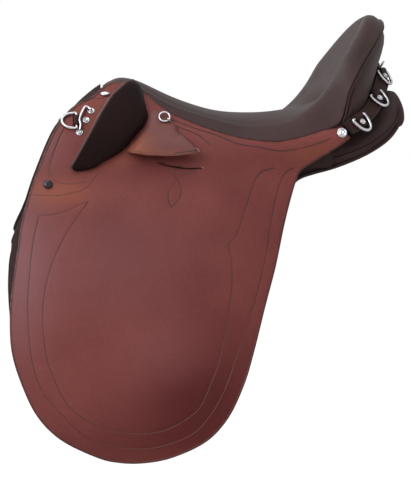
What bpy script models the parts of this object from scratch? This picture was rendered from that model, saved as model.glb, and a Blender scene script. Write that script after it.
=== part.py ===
"""Stock saddle, near side towards -Y, pommel towards -X, +Z up.

The origin lies on the centre line under the seat's lowest point, at the mean height of the
faces with which the two panels bear on the horse's back.
Every length is in metres. The near side is modelled and the off side is its mirror image.
"""
import math

import bmesh
import bpy
import numpy as np
from mathutils import Vector

# Seat
SEAT_REACH = 0.4125
POMMEL_X = -0.1995
SEAT_LOW = 0.104
POMMEL_TOP_RISE = 0.0505
DISH_RISE = 0.020
EDGE_LOW = 0.062
POMMEL_EDGE_RISE = 0.080
CANTLE_RISE = 0.183
CANTLE_HALF_WIDTH = 0.152
SEAT_PADDING = 0.022
SEAT_EDGE = 0.008

# Leather and clearances
GAP = 0.0003
FLAP_LEATHER = 0.004
SKIRT_LEATHER = 0.0035
POINT_LEATHER = 0.0045
SWEAT_LEATHER = 0.0042
CANTLE_LEATHER = 0.0045
STRAP_LEATHER = 0.0035
FACING_LEATHER = 0.0085
WELT_RADIUS = 0.0022

# Tree and panels
BAR_THICKNESS = 0.009
HEAD_THICKNESS = 0.0085
HEAD_TOP = 0.135
HEAD_DEPTH = 0.0046
CANTLE_PLATE = 0.008
WEBBING_THICKNESS = 0.0025
WEBBING_HALF_WIDTH = 0.030
CHANNEL_HALF_WIDTH = 0.028
PANEL_THICKNESS = 0.036

# Flaps
FLAP_DROP = 0.387
BEND_HEIGHT = 0.013
POINT_DEPTH = 0.0043
SWEAT_DEPTH = 0.0091
CUT_INSIDE = 0.008
CUT_OUTSIDE = 0.006

# Knee pads and skirts
KNEE_PAD_HEIGHT = 0.026
SKIRT_LIFT = 0.0185

# Hardware
DEE_WIRE = 0.0017
DEE_HALF_WIDTH = 0.0130
DEE_LENGTH = 0.0235
CHAPE_WIDTH = 0.014
CHAPE_LEATHER = 0.0022
CRUPPER_WIRE = 0.0015
STIRRUP_BAR_LENGTH = 0.050
STIRRUP_BAR_HEIGHT = 0.013
STIRRUP_BAR_STEEL = 0.006
STIRRUP_BAR_SPACE = 0.007
TAB_STUD_RADIUS = 0.0075
FLAP_STUD_RADIUS = 0.0062
POMMEL_NAIL_RADIUS = 0.0065
SKIRT_RING_RADIUS = 0.0075
SKIRT_RING_WIRE = 0.0014
SKIRT_STAPLE_WIRE = 0.0011
GIRTH_POINT_WIDTH = 0.032
GIRTH_POINT_DROP = 0.215
GIRTH_HOLE_RADIUS = 0.0028
GIRTH_HOLE_PITCH = 0.030

# Shape of the side: half-width of the flap's outer face at heights above the origin
SIDE_PROFILE = (
    (-0.440, 0.206), (-0.270, 0.194), (-0.170, 0.180), (-0.090, 0.163), (-0.030, 0.146),
    (0.020, 0.128), (0.060, 0.112), (0.095, 0.094), (0.126, 0.072), (0.146, 0.048),
    (0.158, 0.028),
)
REAR_SPREAD = 0.045
SPREAD_START_X = -0.105
SPREAD_LENGTH = 0.250
LEVEL_STEP_TOP = 0.012
LEVEL_STEP_FLAP = 0.032
COLUMN_STEP = 0.025


def smoothstep(t):
    t = min(max(t, 0.0), 1.0)
    return t * t * (3 - 2 * t)


def table_value(table, key):
    """Monotone cubic through the (key, value) rows of a table, held flat beyond its ends."""
    keys = [row[0] for row in table]
    values = [row[1] for row in table]
    if key <= keys[0]:
        return values[0]
    if key >= keys[-1]:
        return values[-1]
    steps = [b - a for a, b in zip(keys, keys[1:])]
    slopes = [(b - a) / h for a, b, h in zip(values, values[1:], steps)]
    tangents = [slopes[0]]
    for before, after in zip(slopes, slopes[1:]):
        same_way = before * after > 0
        tangents.append(2 * before * after / (before + after) if same_way else 0.0)
    tangents.append(slopes[-1])
    i = max(k for k in range(len(steps)) if keys[k] <= key)
    t = (key - keys[i]) / steps[i]
    return ((2 * t**3 - 3 * t**2 + 1) * values[i] + (t**3 - 2 * t**2 + t) * steps[i] * tangents[i]
            + (3 * t**2 - 2 * t**3) * values[i + 1] + (t**3 - t**2) * steps[i] * tangents[i + 1])


def smooth_path(points, per_span, closed=False):
    """Catmull-Rom curve through the points, as an array."""
    p = np.array(points, float)
    n = len(p)
    spans = n if closed else n - 1
    out = []
    for i in range(spans):
        a = p[(i - 1) % n] if closed or i > 0 else 2 * p[0] - p[1]
        b, c = p[i], p[(i + 1) % n]
        d = p[(i + 2) % n] if closed or i + 2 < n else 2 * p[-1] - p[-2]
        for k in range(per_span):
            t = k / per_span
            out.append(0.5 * (2 * b + (c - a) * t + (2 * a - 5 * b + 4 * c - d) * t * t
                              + (3 * b - a - 3 * c + d) * t**3))
    if not closed:
        out.append(p[-1])
    return np.array(out)


def level_list():
    """Heights at which the side surface bends, from the flap's hem to the pommel."""
    levels = [BEND_HEIGHT]
    while levels[-1] < SIDE_PROFILE[-1][0]:
        levels.append(levels[-1] + LEVEL_STEP_TOP)
    down = []
    while BEND_HEIGHT - LEVEL_STEP_FLAP * len(down) > -FLAP_DROP - 2 * LEVEL_STEP_FLAP:
        down.append(BEND_HEIGHT - LEVEL_STEP_FLAP * (len(down) + 1))
    return down[::-1] + levels


LEVELS = level_list()
COLUMNS = [SPREAD_START_X + COLUMN_STEP * k for k in range(12)]
LEVEL_WIDTHS = [table_value(SIDE_PROFILE, z) for z in LEVELS]


def side(x, z):
    """Half-width of the flap's outer face at a place in the side view."""
    base = float(np.interp(z, LEVELS, LEVEL_WIDTHS))
    spread = smoothstep((x - SPREAD_START_X) / SPREAD_LENGTH)
    fade = smoothstep((z - BEND_HEIGHT) / 0.060)
    return base + REAR_SPREAD * spread * fade


def near_point(x, z, depth=0.0):
    """Point of the near side, a depth inside the flap's outer face."""
    return Vector((x, -(side(x, z) - depth), z))


def side_frame(x, z, depth=0.0):
    """Point, rearward, upward and outward directions on the near side surface."""
    step = 0.002
    rear = (near_point(x + step, z) - near_point(x - step, z)).normalized()
    up = near_point(x, z + step) - near_point(x, z - step)
    out = rear.cross(up).normalized()
    up = out.cross(rear).normalized()
    return near_point(x, z, depth), rear, up, out


# Materials
LEATHER_TAN = ("tan leather", (0.235, 0.075, 0.048), 0.45, 0.0)
LEATHER_DARK = ("dark leather", (0.045, 0.024, 0.021), 0.55, 0.0)
LEATHER_PAD = ("pad leather", (0.022, 0.012, 0.011), 0.5, 0.0)
LEATHER_UNDER = ("panel leather", (0.060, 0.033, 0.027), 0.6, 0.0)
CHROME = ("chrome", (0.75, 0.75, 0.76), 0.15, 1.0)
BLACK_METAL = ("black metal", (0.03, 0.03, 0.035), 0.3, 0.8)
STEEL = ("steel", (0.50, 0.50, 0.50), 0.4, 1.0)
WOOD = ("laminated wood", (0.55, 0.38, 0.20), 0.7, 0.0)
WEBBING = ("webbing", (0.42, 0.36, 0.27), 0.9, 0.0)


def material_for(node, finish):
    label, colour, roughness, metallic = finish
    material = bpy.data.materials.new(node + " " + label)
    material.use_nodes = True
    shader = material.node_tree.nodes["Principled BSDF"]
    shader.inputs["Base Color"].default_value = (*colour, 1.0)
    shader.inputs["Roughness"].default_value = roughness
    shader.inputs["Metallic"].default_value = metallic
    material.diffuse_color = (*colour, 1.0)
    return material


def add_piece(node, bm, finish, pivot=(0.0, 0.0, 0.0)):
    """Object from a bmesh, with outward faces and its origin at the pivot."""
    bmesh.ops.remove_doubles(bm, verts=bm.verts, dist=1e-6)
    bmesh.ops.dissolve_degenerate(bm, edges=bm.edges, dist=1e-6)
    bmesh.ops.translate(bm, verts=bm.verts, vec=-Vector(pivot))
    bmesh.ops.recalc_face_normals(bm, faces=bm.faces)
    mesh = bpy.data.meshes.new(node)
    bm.to_mesh(mesh)
    bm.free()
    mesh.shade_smooth()
    mesh.set_sharp_from_angle(angle=math.radians(40))
    mesh.materials.append(material_for(node, finish))
    piece = bpy.data.objects.new(node, mesh)
    piece.location = pivot
    bpy.context.scene.collection.objects.link(piece)
    return piece


def add_pair(node, build, finish, pivot=(0.0, 0.0, 0.0)):
    """Near piece from build() and its mirror image on the off side."""
    near = add_piece(node + "_near", build(), finish, pivot)
    bm = build()
    bmesh.ops.scale(bm, verts=bm.verts, vec=(1, -1, 1))
    off = add_piece(node + "_off", bm, finish, (pivot[0], -pivot[1], pivot[2]))
    return near, off


def cut_with(piece, node, bm):
    """Cut the piece with a closed mesh kept as a hidden guide."""
    bmesh.ops.recalc_face_normals(bm, faces=bm.faces)
    mesh = bpy.data.meshes.new(node)
    bm.to_mesh(mesh)
    bm.free()
    cutter = bpy.data.objects.new(node, mesh)
    cutter.hide_render = True
    cutter.display_type = "WIRE"
    bpy.context.scene.collection.objects.link(cutter)
    cut = piece.modifiers.new(node, "BOOLEAN")
    cut.operation = "DIFFERENCE"
    cut.solver = "EXACT"
    cut.object = cutter


def mirrored(bm):
    bmesh.ops.scale(bm, verts=bm.verts, vec=(1, -1, 1))
    return bm


# Mesh forms
def loft(rings, closed_path=False):
    """Skin over equal rings of points, capped at both ends unless the path closes."""
    bm = bmesh.new()
    rows = [[bm.verts.new(Vector(p)) for p in ring] for ring in rings]
    count = len(rows[0])
    pairs = list(zip(rows, rows[1:]))
    if closed_path:
        pairs.append((rows[-1], rows[0]))
    for a, b in pairs:
        for k in range(count):
            n = (k + 1) % count
            bm.faces.new((a[k], a[n], b[n], b[k]))
    if not closed_path:
        bm.faces.new(rows[0])
        bm.faces.new(rows[-1][::-1])
    return bm


def slab(outer, inner):
    """Closed shell between two equal grids of points."""
    bm = bmesh.new()
    tops = [[bm.verts.new(Vector(p)) for p in row] for row in outer]
    backs = [[bm.verts.new(Vector(p)) for p in row] for row in inner]
    rows, cols = len(tops), len(tops[0])
    for i in range(rows - 1):
        for j in range(cols - 1):
            bm.faces.new((tops[i][j], tops[i + 1][j], tops[i + 1][j + 1], tops[i][j + 1]))
            bm.faces.new((backs[i][j], backs[i][j + 1], backs[i + 1][j + 1], backs[i + 1][j]))
    rim = [(0, j) for j in range(cols)] + [(i, cols - 1) for i in range(1, rows)]
    rim += [(rows - 1, j) for j in range(cols - 2, -1, -1)] + [(i, 0) for i in range(rows - 2, 0, -1)]
    for (a, b), (c, d) in zip(rim, rim[1:] + rim[:1]):
        bm.faces.new((tops[a][b], tops[c][d], backs[c][d], backs[a][b]))
    return bm


def offset_grid(grid, depth, toward):
    """Grid moved by a depth along its own normals, on the side of the point toward."""
    g = np.array(grid, float)
    along = np.gradient(g, axis=0)
    across = np.gradient(g, axis=1)
    normals = np.cross(along, across)
    lengths = np.linalg.norm(normals, axis=2, keepdims=True)
    normals /= np.maximum(lengths, 1e-12)
    facing = np.sign(np.sum(normals * (np.array(toward) - g), axis=2, keepdims=True))
    return g + normals * facing * depth


def sheet(outline, outer, inner, rim=0.0):
    """Closed leather sheet whose outline in the side view lies between two surfaces."""
    flat = bmesh.new()
    face = flat.faces.new([flat.verts.new((x, 0.0, z)) for x, z in outline])
    if rim:
        bmesh.ops.inset_region(flat, faces=[face], thickness=rim)
    heights = [z for x, z in outline]
    places = [x for x, z in outline]
    cuts = [(Vector((0, 0, z)), Vector((0, 0, 1))) for z in LEVELS if min(heights) < z < max(heights)]
    if min(heights) > BEND_HEIGHT - LEVEL_STEP_TOP:
        cuts += [(Vector((x, 0, 0)), Vector((1, 0, 0))) for x in COLUMNS if min(places) < x < max(places)]
    for place, normal in cuts:
        geometry = flat.verts[:] + flat.edges[:] + flat.faces[:]
        bmesh.ops.bisect_plane(flat, geom=geometry, dist=1e-6, plane_co=place, plane_no=normal)
    bmesh.ops.triangulate(flat, faces=flat.faces)
    flat.verts.index_update()
    bm = bmesh.new()
    tops = [bm.verts.new(outer(v.co.x, v.co.z)) for v in flat.verts]
    backs = [bm.verts.new(inner(v.co.x, v.co.z)) for v in flat.verts]
    for f in flat.faces:
        loop = [v.index for v in f.verts]
        bm.faces.new([tops[i] for i in loop])
        bm.faces.new([backs[i] for i in reversed(loop)])
    for e in flat.edges:
        if len(e.link_faces) == 1:
            a, b = (v.index for v in e.verts)
            bm.faces.new((tops[a], tops[b], backs[b], backs[a]))
    flat.free()
    return bm


def leather(outline, depth, thickness):
    """Plain sheet at a depth inside the flap's outer face."""
    return sheet(outline, lambda x, z: near_point(x, z, depth),
                 lambda x, z: near_point(x, z, depth + thickness))


def wire(path, radius, sides=6, closed=False):
    """Round wire along a path of points."""
    p = np.array(path, float)
    n = len(p)
    rings = []
    normal = None
    for i in range(n):
        before = p[i - 1] if closed or i > 0 else p[i]
        after = p[(i + 1) % n] if closed or i < n - 1 else p[i]
        tangent = Vector(after - before).normalized()
        if normal is None:
            normal = tangent.orthogonal().normalized()
        normal = (normal - tangent * normal.dot(tangent)).normalized()
        other = tangent.cross(normal)
        rings.append([Vector(p[i]) + radius * (math.cos(2 * math.pi * k / sides) * normal
                                               + math.sin(2 * math.pi * k / sides) * other)
                      for k in range(sides)])
    return loft(rings, closed_path=closed)


def flat_wire(path, radius, plane_normal, sides=6, closed=False):
    """Round wire along a path that lies in one plane, with rings square to the path."""
    p = np.array(path, float)
    n = len(p)
    up = Vector(plane_normal).normalized()
    rings = []
    for i in range(n):
        before = p[i - 1] if closed or i > 0 else p[i]
        after = p[(i + 1) % n] if closed or i < n - 1 else p[i]
        out = Vector(after - before).normalized().cross(up).normalized()
        rings.append([Vector(p[i]) + radius * (math.cos(2 * math.pi * (k + 0.5) / sides) * out
                                               + math.sin(2 * math.pi * (k + 0.5) / sides) * up)
                      for k in range(sides)])
    return loft(rings, closed_path=closed)


# Seat, worked out from ribs that run from its spine to its edge.
# Rows: place along the seat, half-width share (None: as wide as the side), edge height share
# of the pommel's or the cantle's rise, width of the rolled rim, height of the rim over the edge
FRONT_RIBS = (
    (0.000, 0.00, 1.000, 0.010, 0.007),
    (0.014, 0.24, 1.035, 0.011, 0.006),
    (0.077, None, 1.050, 0.012, 0.005),
    (0.126, None, 0.896, 0.017, 0.007),
    (0.203, None, 0.558, 0.020, 0.013),
    (0.280, None, 0.364, 0.020, 0.015),
    (0.357, None, 0.208, 0.021, 0.018),
    (0.430, None, 0.091, 0.022, 0.019),
    (0.500, None, 0.026, 0.022, 0.020),
    (0.563, None, 0.000, 0.021, 0.024),
)
REAR_RIBS = (
    (0.616, None, 0.016, 0.018, 0.024),
    (0.679, None, 0.049, 0.020, 0.034),
    (0.737, None, 0.092, 0.030, 0.046),
    (0.788, 0.975, 0.1520, 0.046, 0.067),
    (0.811, 0.955, 0.355, 0.047, 0.045),
    (0.845, 0.890, 0.497, 0.044, 0.034),
    (0.907, 0.690, 0.696, 0.040, 0.026),
    (0.970, 0.380, 0.907, 0.036, 0.010),
    (1.000, 0.00, 1.000, 0.032, -0.003),
)
SPINE_FRONT = 0.070
SPINE_REAR = 0.790
POMMEL_FALL = ((0.070, 1.0), (0.114, 0.97), (0.150, 0.80), (0.193, 0.65), (0.234, 0.455),
               (0.278, 0.337), (0.321, 0.218), (0.365, 0.10), (0.408, 0.03), (0.476, 0.0))
DISH_SWEEP = ((0.558, 0.0), (0.621, 0.15), (0.693, 0.40), (0.742, 0.65), (0.790, 1.0))
ROLL_RISE = 0.008
PADDING_AT_POMMEL = 0.45


def seat_x(share):
    return POMMEL_X + SEAT_REACH * share


def seat_share(x):
    return (x - POMMEL_X) / SEAT_REACH


def spine_height(share):
    return SEAT_LOW + POMMEL_TOP_RISE * table_value(POMMEL_FALL, share) \
        + DISH_RISE * table_value(DISH_SWEEP, share)


def rib_rows():
    """Edge place, half-width and height, rim width and rim height of each rib."""
    rows = []
    for row in FRONT_RIBS + REAR_RIBS:
        share, width, rise, rim, lift = row
        height = EDGE_LOW + (POMMEL_EDGE_RISE if row in FRONT_RIBS else CANTLE_RISE) * rise
        x = seat_x(share)
        half = side(x, height) if width is None else CANTLE_HALF_WIDTH * width
        rows.append((x, half, height, rim, height + lift))
    return rows


def rib_curve(row):
    """Spine point, direction in plan and the rib's distance-height points."""
    x, half, edge, rim, ridge = row
    share = min(max(seat_share(x), SPINE_FRONT), SPINE_REAR)
    start = seat_x(share)
    centre = spine_height(share)
    reach = math.hypot(x - start, half)
    direction = ((x - start) / reach, -half / reach)
    roll = smoothstep((seat_share(x) - SPINE_REAR) / (1 - SPINE_REAR))
    inner = max(reach - rim, reach * 0.3)
    shoulder = ridge + roll * ROLL_RISE - (1 - roll) * 0.28 * (ridge - edge)
    points = [(0.0, centre),
              (0.22 * inner, centre + 0.035 * (ridge - centre)),
              (0.48 * inner, centre + 0.20 * (ridge - centre)),
              (0.80 * inner, centre + 0.58 * (ridge - centre)),
              (inner, ridge),
              (inner + 0.50 * (reach - inner), shoulder),
              (reach, edge)]
    return start, direction, points


def rib_surfaces(row):
    """Points of one rib on the seat's surface and on its underside, with the plan direction."""
    start, direction, points = rib_curve(row)
    reach, edge = points[-1]
    ridge_at = points[4][0]
    curve = smooth_path(points, 2)
    steps = np.gradient(curve, axis=0)
    share = seat_share(start)
    depth_centre = SEAT_PADDING * (PADDING_AT_POMMEL + (1 - PADDING_AT_POMMEL) * smoothstep(share / 0.3))
    depth_rim = SEAT_EDGE * 1.25
    last = len(curve) - 1
    under = []
    for k, ((r, z), (dr, dz)) in enumerate(zip(curve, steps)):
        length = math.hypot(dr, dz)
        depth = depth_centre + (depth_rim - depth_centre) * smoothstep(r / ridge_at)
        low_r, low_z = r + depth * dz / length, z - depth * dr / length
        if k == 0:
            low_r, low_z = 0.0, z - depth
        if r > ridge_at:
            low_z = max(low_z, edge + GAP)
        low_r = min(low_r, reach - SEAT_EDGE - 0.0008 * (last - k))
        if k == last:
            low_r, low_z = reach - SEAT_EDGE, edge + GAP
        under.append((low_r, low_z))
    return start, direction, curve, under


def seat_rows():
    """Rib rows, closer together round the cantle."""
    rows = rib_rows()
    rear = [list(r) for r in smooth_path(rows[12:], 2)]
    return rows[:12] + rear


def on_rib(start, direction, r, z, sign=1):
    return Vector((start + direction[0] * r, sign * direction[1] * r, z))


def make_seat():
    """Padded seat with its dish, twist and rolled cantle, both halves joined on the spine."""
    ribs = [rib_surfaces(row) for row in seat_rows()]
    bm = bmesh.new()
    for sign in (1, -1):
        tops = [[bm.verts.new(on_rib(s, d, r, z, sign)) for r, z in top] for s, d, top, under in ribs]
        backs = [[bm.verts.new(on_rib(s, d, r, z, sign)) for r, z in under] for s, d, top, under in ribs]
        for i in range(len(tops) - 1):
            for j in range(len(tops[0]) - 1):
                bm.faces.new((tops[i][j], tops[i + 1][j], tops[i + 1][j + 1], tops[i][j + 1]))
                bm.faces.new((backs[i][j], backs[i][j + 1], backs[i + 1][j + 1], backs[i + 1][j]))
            bm.faces.new((tops[i][-1], tops[i + 1][-1], backs[i + 1][-1], backs[i][-1]))
    return add_piece("seat", bm, LEATHER_DARK)


def both_halves(rows):
    """Rows of near points from the centre outward, carried over the centre to the off side."""
    off = [[(p[0], -p[1], p[2]) for p in row] for row in rows[:0:-1]]
    return off + [[tuple(p) for p in row] for row in rows]


# Back of the cantle: strap edges from the centre line round to the near end, as the place along
# the seat, the share of the cantle's half-width and the height
STRAP_TOP = (
    (0.9915, 0.0, 0.180), (0.9695, 0.3026, 0.1705), (0.9080, 0.6842, 0.1250),
    (0.8620, 0.8553, 0.1060), (0.8242, 0.9539, 0.0965), (0.8017, 0.9947, 0.0885),
)
STRAP_LOW = (
    (1.0230, 0.0, 0.150), (1.0060, 0.3553, 0.1455), (0.9440, 0.7303, 0.1095),
    (0.9100, 0.8684, 0.0955), (0.8509, 0.9967, 0.0775), (0.8274, 1.0316, 0.0735),
)
CANTLE_FIRST_ROW = 14
CANTLE_BULGE = 0.004
TREE_MIDDLE = (0.120, 0.0, 0.060)


def cantle_edges():
    """Seat edge stations from the centre line to the near end.

    Each has the rib row, the rib's start and plan direction, its edge point, the direction
    along the edge's end face towards the spine and the face's normal, away from the seat.
    """
    rows = [tuple(row) for row in seat_rows()[CANTLE_FIRST_ROW:][::-1]]
    starts = [seat_x(min(seat_share(row[0]), SPINE_REAR)) for row in rows]
    edges = np.array([(x, -half, edge) for x, half, edge, rim, ridge in rows])
    tangents = np.gradient(edges, axis=0)
    tangents[0] = (0.0, -1.0, 0.0)
    stations = []
    for row, start, spot, tangent in zip(rows, starts, edges, tangents):
        inward = Vector((start - spot[0], -spot[1], 0.0)).normalized()
        normal = Vector(tangent).cross(inward).normalized()
        if normal.z > 0:
            normal = -normal
        stations.append((row, Vector(spot), inward, normal))
    return stations


def make_welt():
    path = []
    for row, spot, inward, normal in cantle_edges()[:-1]:
        spot = spot + inward * (WELT_RADIUS - 0.001) + normal * (WELT_RADIUS + 2 * GAP)
        path.append((spot.x, spot.y, spot.z))
    whole = [(x, -y, z) for x, y, z in path[:0:-1]] + path
    return add_piece("cantle_welt", wire(whole, WELT_RADIUS), LEATHER_DARK)


def strap_edge(table, per_span):
    """Smooth edge of the dee strap, near half, from the centre line outward."""
    points = [(seat_x(share), -CANTLE_HALF_WIDTH * width, z) for share, width, z in table]
    return smooth_path(points, per_span)


def strap_rows():
    """Outer face of the dee strap: top, middle and low points at each station."""
    tops = strap_edge(STRAP_TOP, 2)
    lows = strap_edge(STRAP_LOW, 2)
    return [[tuple(t), tuple((t + b) / 2), tuple(b)] for t, b in zip(tops, lows)]


def make_cantle_back():
    """Leather back of the cantle from the welt down behind the strap."""
    strap = offset_grid(both_halves(strap_rows()), STRAP_LEATHER + GAP, TREE_MIDDLE)
    half = len(strap) // 2
    inset = 2 * WELT_RADIUS - 0.001 + 2 * GAP
    rows = []
    for k, (row, spot, inward, normal) in enumerate(cantle_edges()):
        low = Vector(strap[half + k][0])
        top = spot + inward * inset + normal * 2 * GAP
        drop = top.z - low.z
        neck = top + normal * min(2 * WELT_RADIUS + 0.0012, 0.5 * drop)
        bulge = -inward * CANTLE_BULGE * min(drop / 0.050, 1.0)
        shoulders = [neck.lerp(low, t) + bulge * lift for t, lift in ((0.25, 1.3), (0.60, 1.5))]
        rows.append([tuple(p) for p in [top, neck] + shoulders] + [tuple(p) for p in strap[half + k]])
    outer = both_halves(rows)
    return add_piece("cantle_back", slab(outer, offset_grid(outer, CANTLE_LEATHER, TREE_MIDDLE)),
                     LEATHER_DARK)


def make_dee_strap():
    outer = both_halves(strap_rows())
    return add_piece("dee_strap", slab(outer, offset_grid(outer, STRAP_LEATHER, TREE_MIDDLE)), LEATHER_TAN)


PLATE_BASE = (0.127, 0.119, 0.100, 0.080, 0.072, 0.070)
PLATE_OUTSET = 0.013


def make_tree_cantle():
    """Upright laminated plate that carries the cantle, under the seat and ahead of its back."""
    rings = []
    bases = smooth_path([(z,) for z in PLATE_BASE], 2)
    for (row, spot, inward, normal), (base,) in zip(cantle_edges(), bases):
        start, direction, top, under = rib_surfaces(row)
        reach = top[-1][0]
        outer, inner = reach - PLATE_OUTSET, reach - PLATE_OUTSET - CANTLE_PLATE
        distances, heights = [r for r, z in under], [z for r, z in under]
        checks = np.linspace(inner - 0.001, outer + 0.001, 9)
        roof = float(min(np.interp(checks, distances, heights))) - 2 * GAP
        rings.append([on_rib(start, direction, outer, base), on_rib(start, direction, inner, base),
                      on_rib(start, direction, inner, roof), on_rib(start, direction, outer, roof)])
    whole = [[(p.x, -p.y, p.z) for p in ring] for ring in rings[:0:-1]] + rings
    return add_piece("tree_cantle", loft(whole), WOOD)


# Arched sections shared by the panels, the tree and the facing
ARCH_POWER = 2.5
ARCH_SHOULDER = 0.045
ARCH_STEPS = 8


def arch_place(x, z, depth, top, shrink=1.0, lean=0.0):
    """Point of the arch at a height, near side."""
    shoulder = top - ARCH_SHOULDER
    share = min(max((z - shoulder) / ARCH_SHOULDER, 0.0), 1.0)
    cap = (1 - share ** ARCH_POWER) ** (1 / ARCH_POWER)
    forward = x - lean * (top - z)
    return Vector((forward, -(side(forward, z) - depth) * shrink * cap, z))


def arch(x, depth, top, low, end, shrink=1.0, lean=0.0):
    """Points from a height low on the side up and over to the half-width end, near side."""
    near, far = low, top
    for _ in range(30):
        middle = (near + far) / 2
        if -arch_place(x, middle, depth, top, shrink, lean).y > end:
            near = middle
        else:
            far = middle
    rise = far - low
    heights = [low + rise * math.sin(math.pi / 2 * k / ARCH_STEPS) for k in range(ARCH_STEPS + 1)]
    return [arch_place(x, z, depth, top, shrink, lean) for z in heights]


BAR_FRONT = -0.1487
BAR_REAR = 0.116
BAR_FOOT = BEND_HEIGHT + LEVEL_STEP_TOP
BAR_DEPTH = 0.0045

# Panels: top of the arch, hem, width share and stuffing share along the saddle
PANEL_TOP = ((-0.212, 0.092), (-0.190, 0.104), (-0.150, 0.096), (-0.110, 0.080), (-0.070, 0.068),
             (-0.030, 0.061), (0.030, 0.060), (0.060, 0.062), (0.095, 0.068), (0.130, 0.078),
             (0.160, 0.092), (0.190, 0.112), (0.205, 0.122), (0.215, 0.131), (0.222, 0.1345),
             (0.230, 0.134), (0.237, 0.129), (0.2425, 0.118))
PANEL_HEM = ((-0.212, -0.020), (-0.190, -0.045), (-0.150, -0.060), (0.000, -0.060), (0.040, -0.020),
             (0.060, 0.000), (0.070, 0.010), (0.092, 0.018), (0.118, 0.0218), (0.140, 0.034),
             (0.168, 0.046), (0.190, 0.058), (0.207, 0.071), (0.230, 0.095), (0.2425, 0.107))
PANEL_WIDTH = ((0.120, 1.0), (0.150, 0.98), (0.168, 0.93), (0.190, 0.83), (0.207, 0.72),
               (0.230, 0.50), (0.2425, 0.36))
PANEL_STUFFING = ((-0.212, 0.35), (-0.190, 0.75), (-0.150, 1.0), (0.190, 1.0), (0.222, 0.75),
                  (0.2425, 0.30))
PANEL_PLACES = (-0.212, -0.204, -0.186, BAR_FRONT, -0.120, -0.075, -0.030, 0.015, 0.055, 0.088,
                BAR_REAR, 0.145, 0.168, 0.190, 0.208, 0.222, 0.234, 0.2415)
PANEL_DEPTH = BAR_DEPTH + BAR_THICKNESS + GAP

# Tree head and its leather facing: places along the saddle with the forward lean of the arch
HEAD_STATIONS = ((-0.190, 0.50), (-0.170, 0.25), (-0.149, 0.0))
HEAD_FOOT = 0.050
FACING_PLACES = (-0.1943, -0.1903)
FACING_FOOT = 0.109
FACING_LEAN = 0.50


def make_panel():
    """Stuffed panel: its outer face follows the tree, its bearing face the horse's back."""
    rings = []
    for x in PANEL_PLACES:
        top, hem = table_value(PANEL_TOP, x), table_value(PANEL_HEM, x)
        shrink, share = table_value(PANEL_WIDTH, x), table_value(PANEL_STUFFING, x)
        foot = max(BAR_FOOT, hem + 0.003)
        bend = BEND_HEIGHT if hem < BEND_HEIGHT - 0.004 else (2 * foot + hem) / 3
        lower = (hem, (hem + bend) / 2, bend)
        outer = [arch_place(x, z, PANEL_DEPTH, top, shrink) for z in lower]
        outer += arch(x, PANEL_DEPTH, top, foot, CHANNEL_HALF_WIDTH, shrink)
        last = len(outer) - 1
        steps = np.gradient(np.array([tuple(p) for p in outer]), axis=0)
        inner = []
        for k, (p, step) in enumerate(zip(outer, steps)):
            edge = math.sin(math.pi * min(k / last, 0.5))
            depth = PANEL_THICKNESS * share * (0.30 + 0.70 * edge)
            inward = Vector((0.0, step[2], -step[1])).normalized()
            q = p + inward * depth
            q.y = min(q.y, -CHANNEL_HALF_WIDTH)
            inner.append(q)
        inner[-1] = Vector((x, -CHANNEL_HALF_WIDTH - 0.002, outer[-1].z - PANEL_THICKNESS * share))
        rings.append(outer + inner[::-1])
    return loft(rings)


def make_tree_bar():
    """Laminated side bar of the tree, on the panel's crown."""
    places = [BAR_FRONT, -0.120, -0.075, -0.030, 0.015, 0.055, 0.088, BAR_REAR]
    outer = [arch(x, BAR_DEPTH, table_value(PANEL_TOP, x) + BAR_THICKNESS + 2 * GAP, BAR_FOOT,
                  CHANNEL_HALF_WIDTH) for x in places]
    inner = [arch(x, BAR_DEPTH + BAR_THICKNESS, table_value(PANEL_TOP, x) + GAP, BAR_FOOT,
                  CHANNEL_HALF_WIDTH) for x in places]
    return slab(outer, inner)


def arch_band(stations, thickness):
    """Inverted-U band over the centre line: stations give x, depth, top, foot and forward lean."""
    grids = []
    for inset in (0.0, thickness):
        grid = []
        for x, depth, top, foot, lean in stations:
            half = arch(x, depth + inset, top - inset, foot, 0.0, lean=lean)
            row = [tuple(p) for p in half]
            row[-1] = (row[-1][0], 0.0, row[-1][2])
            grid.append(row + [(a, -b, c) for a, b, c in row[-2::-1]])
        grids.append(grid)
    return slab(grids[0], grids[1])


# Knee pad, skirt and flap outlines in the side view
FLAP_FRONT = (
    (-0.1920, 0.1453), (-0.2055, 0.1388), (-0.2277, 0.1204), (-0.2622, 0.0910), (-0.2848, 0.0576),
    (-0.2975, 0.0235),
)
FLAP_LOWER = (
    (-0.3055, -0.003), (-0.3148, -0.033), (-0.3212, -0.062), (-0.3245, -0.085), (-0.3285, -0.110),
    (-0.3335, -0.145), (-0.3355, -0.178),
    (-0.3333, -0.221), (-0.3206, -0.2645), (-0.2996, -0.3086), (-0.2675, -0.3415), (-0.2195, -0.3660),
    (-0.190, -0.3737), (-0.157, -0.3752), (-0.117, -0.3687), (-0.070, -0.348), (-0.039, -0.316),
    (-0.017, -0.272), (-0.003, -0.229), (0.015, -0.164), (0.031, -0.110), (0.0445, -0.056),
    (0.058, -0.012),
)
FLAP_BREAK_FRONT = (-0.3007, 0.013)
FLAP_BREAK_REAR = (0.068, 0.013)
TAB = ((0.076, 0.023), (0.0955, 0.036), (0.121, 0.053), (0.1380, 0.0665), (0.1268, 0.0848))
PAD_FRONT = (
    (-0.168, 0.1395), (-0.185, 0.130), (-0.198, 0.1155), (-0.213, 0.0935), (-0.2225, 0.0745),
    (-0.2305, 0.0585), (-0.239, 0.0455), (-0.2470, 0.0345),
)
PAD_REAR = (
    (-0.151, 0.1335), (-0.1450, 0.1225), (-0.1425, 0.1070), (-0.142, 0.0910), (-0.149, 0.0770),
    (-0.1690, 0.0570), (-0.2020, 0.0345), (-0.2385, 0.0203),
)
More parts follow.
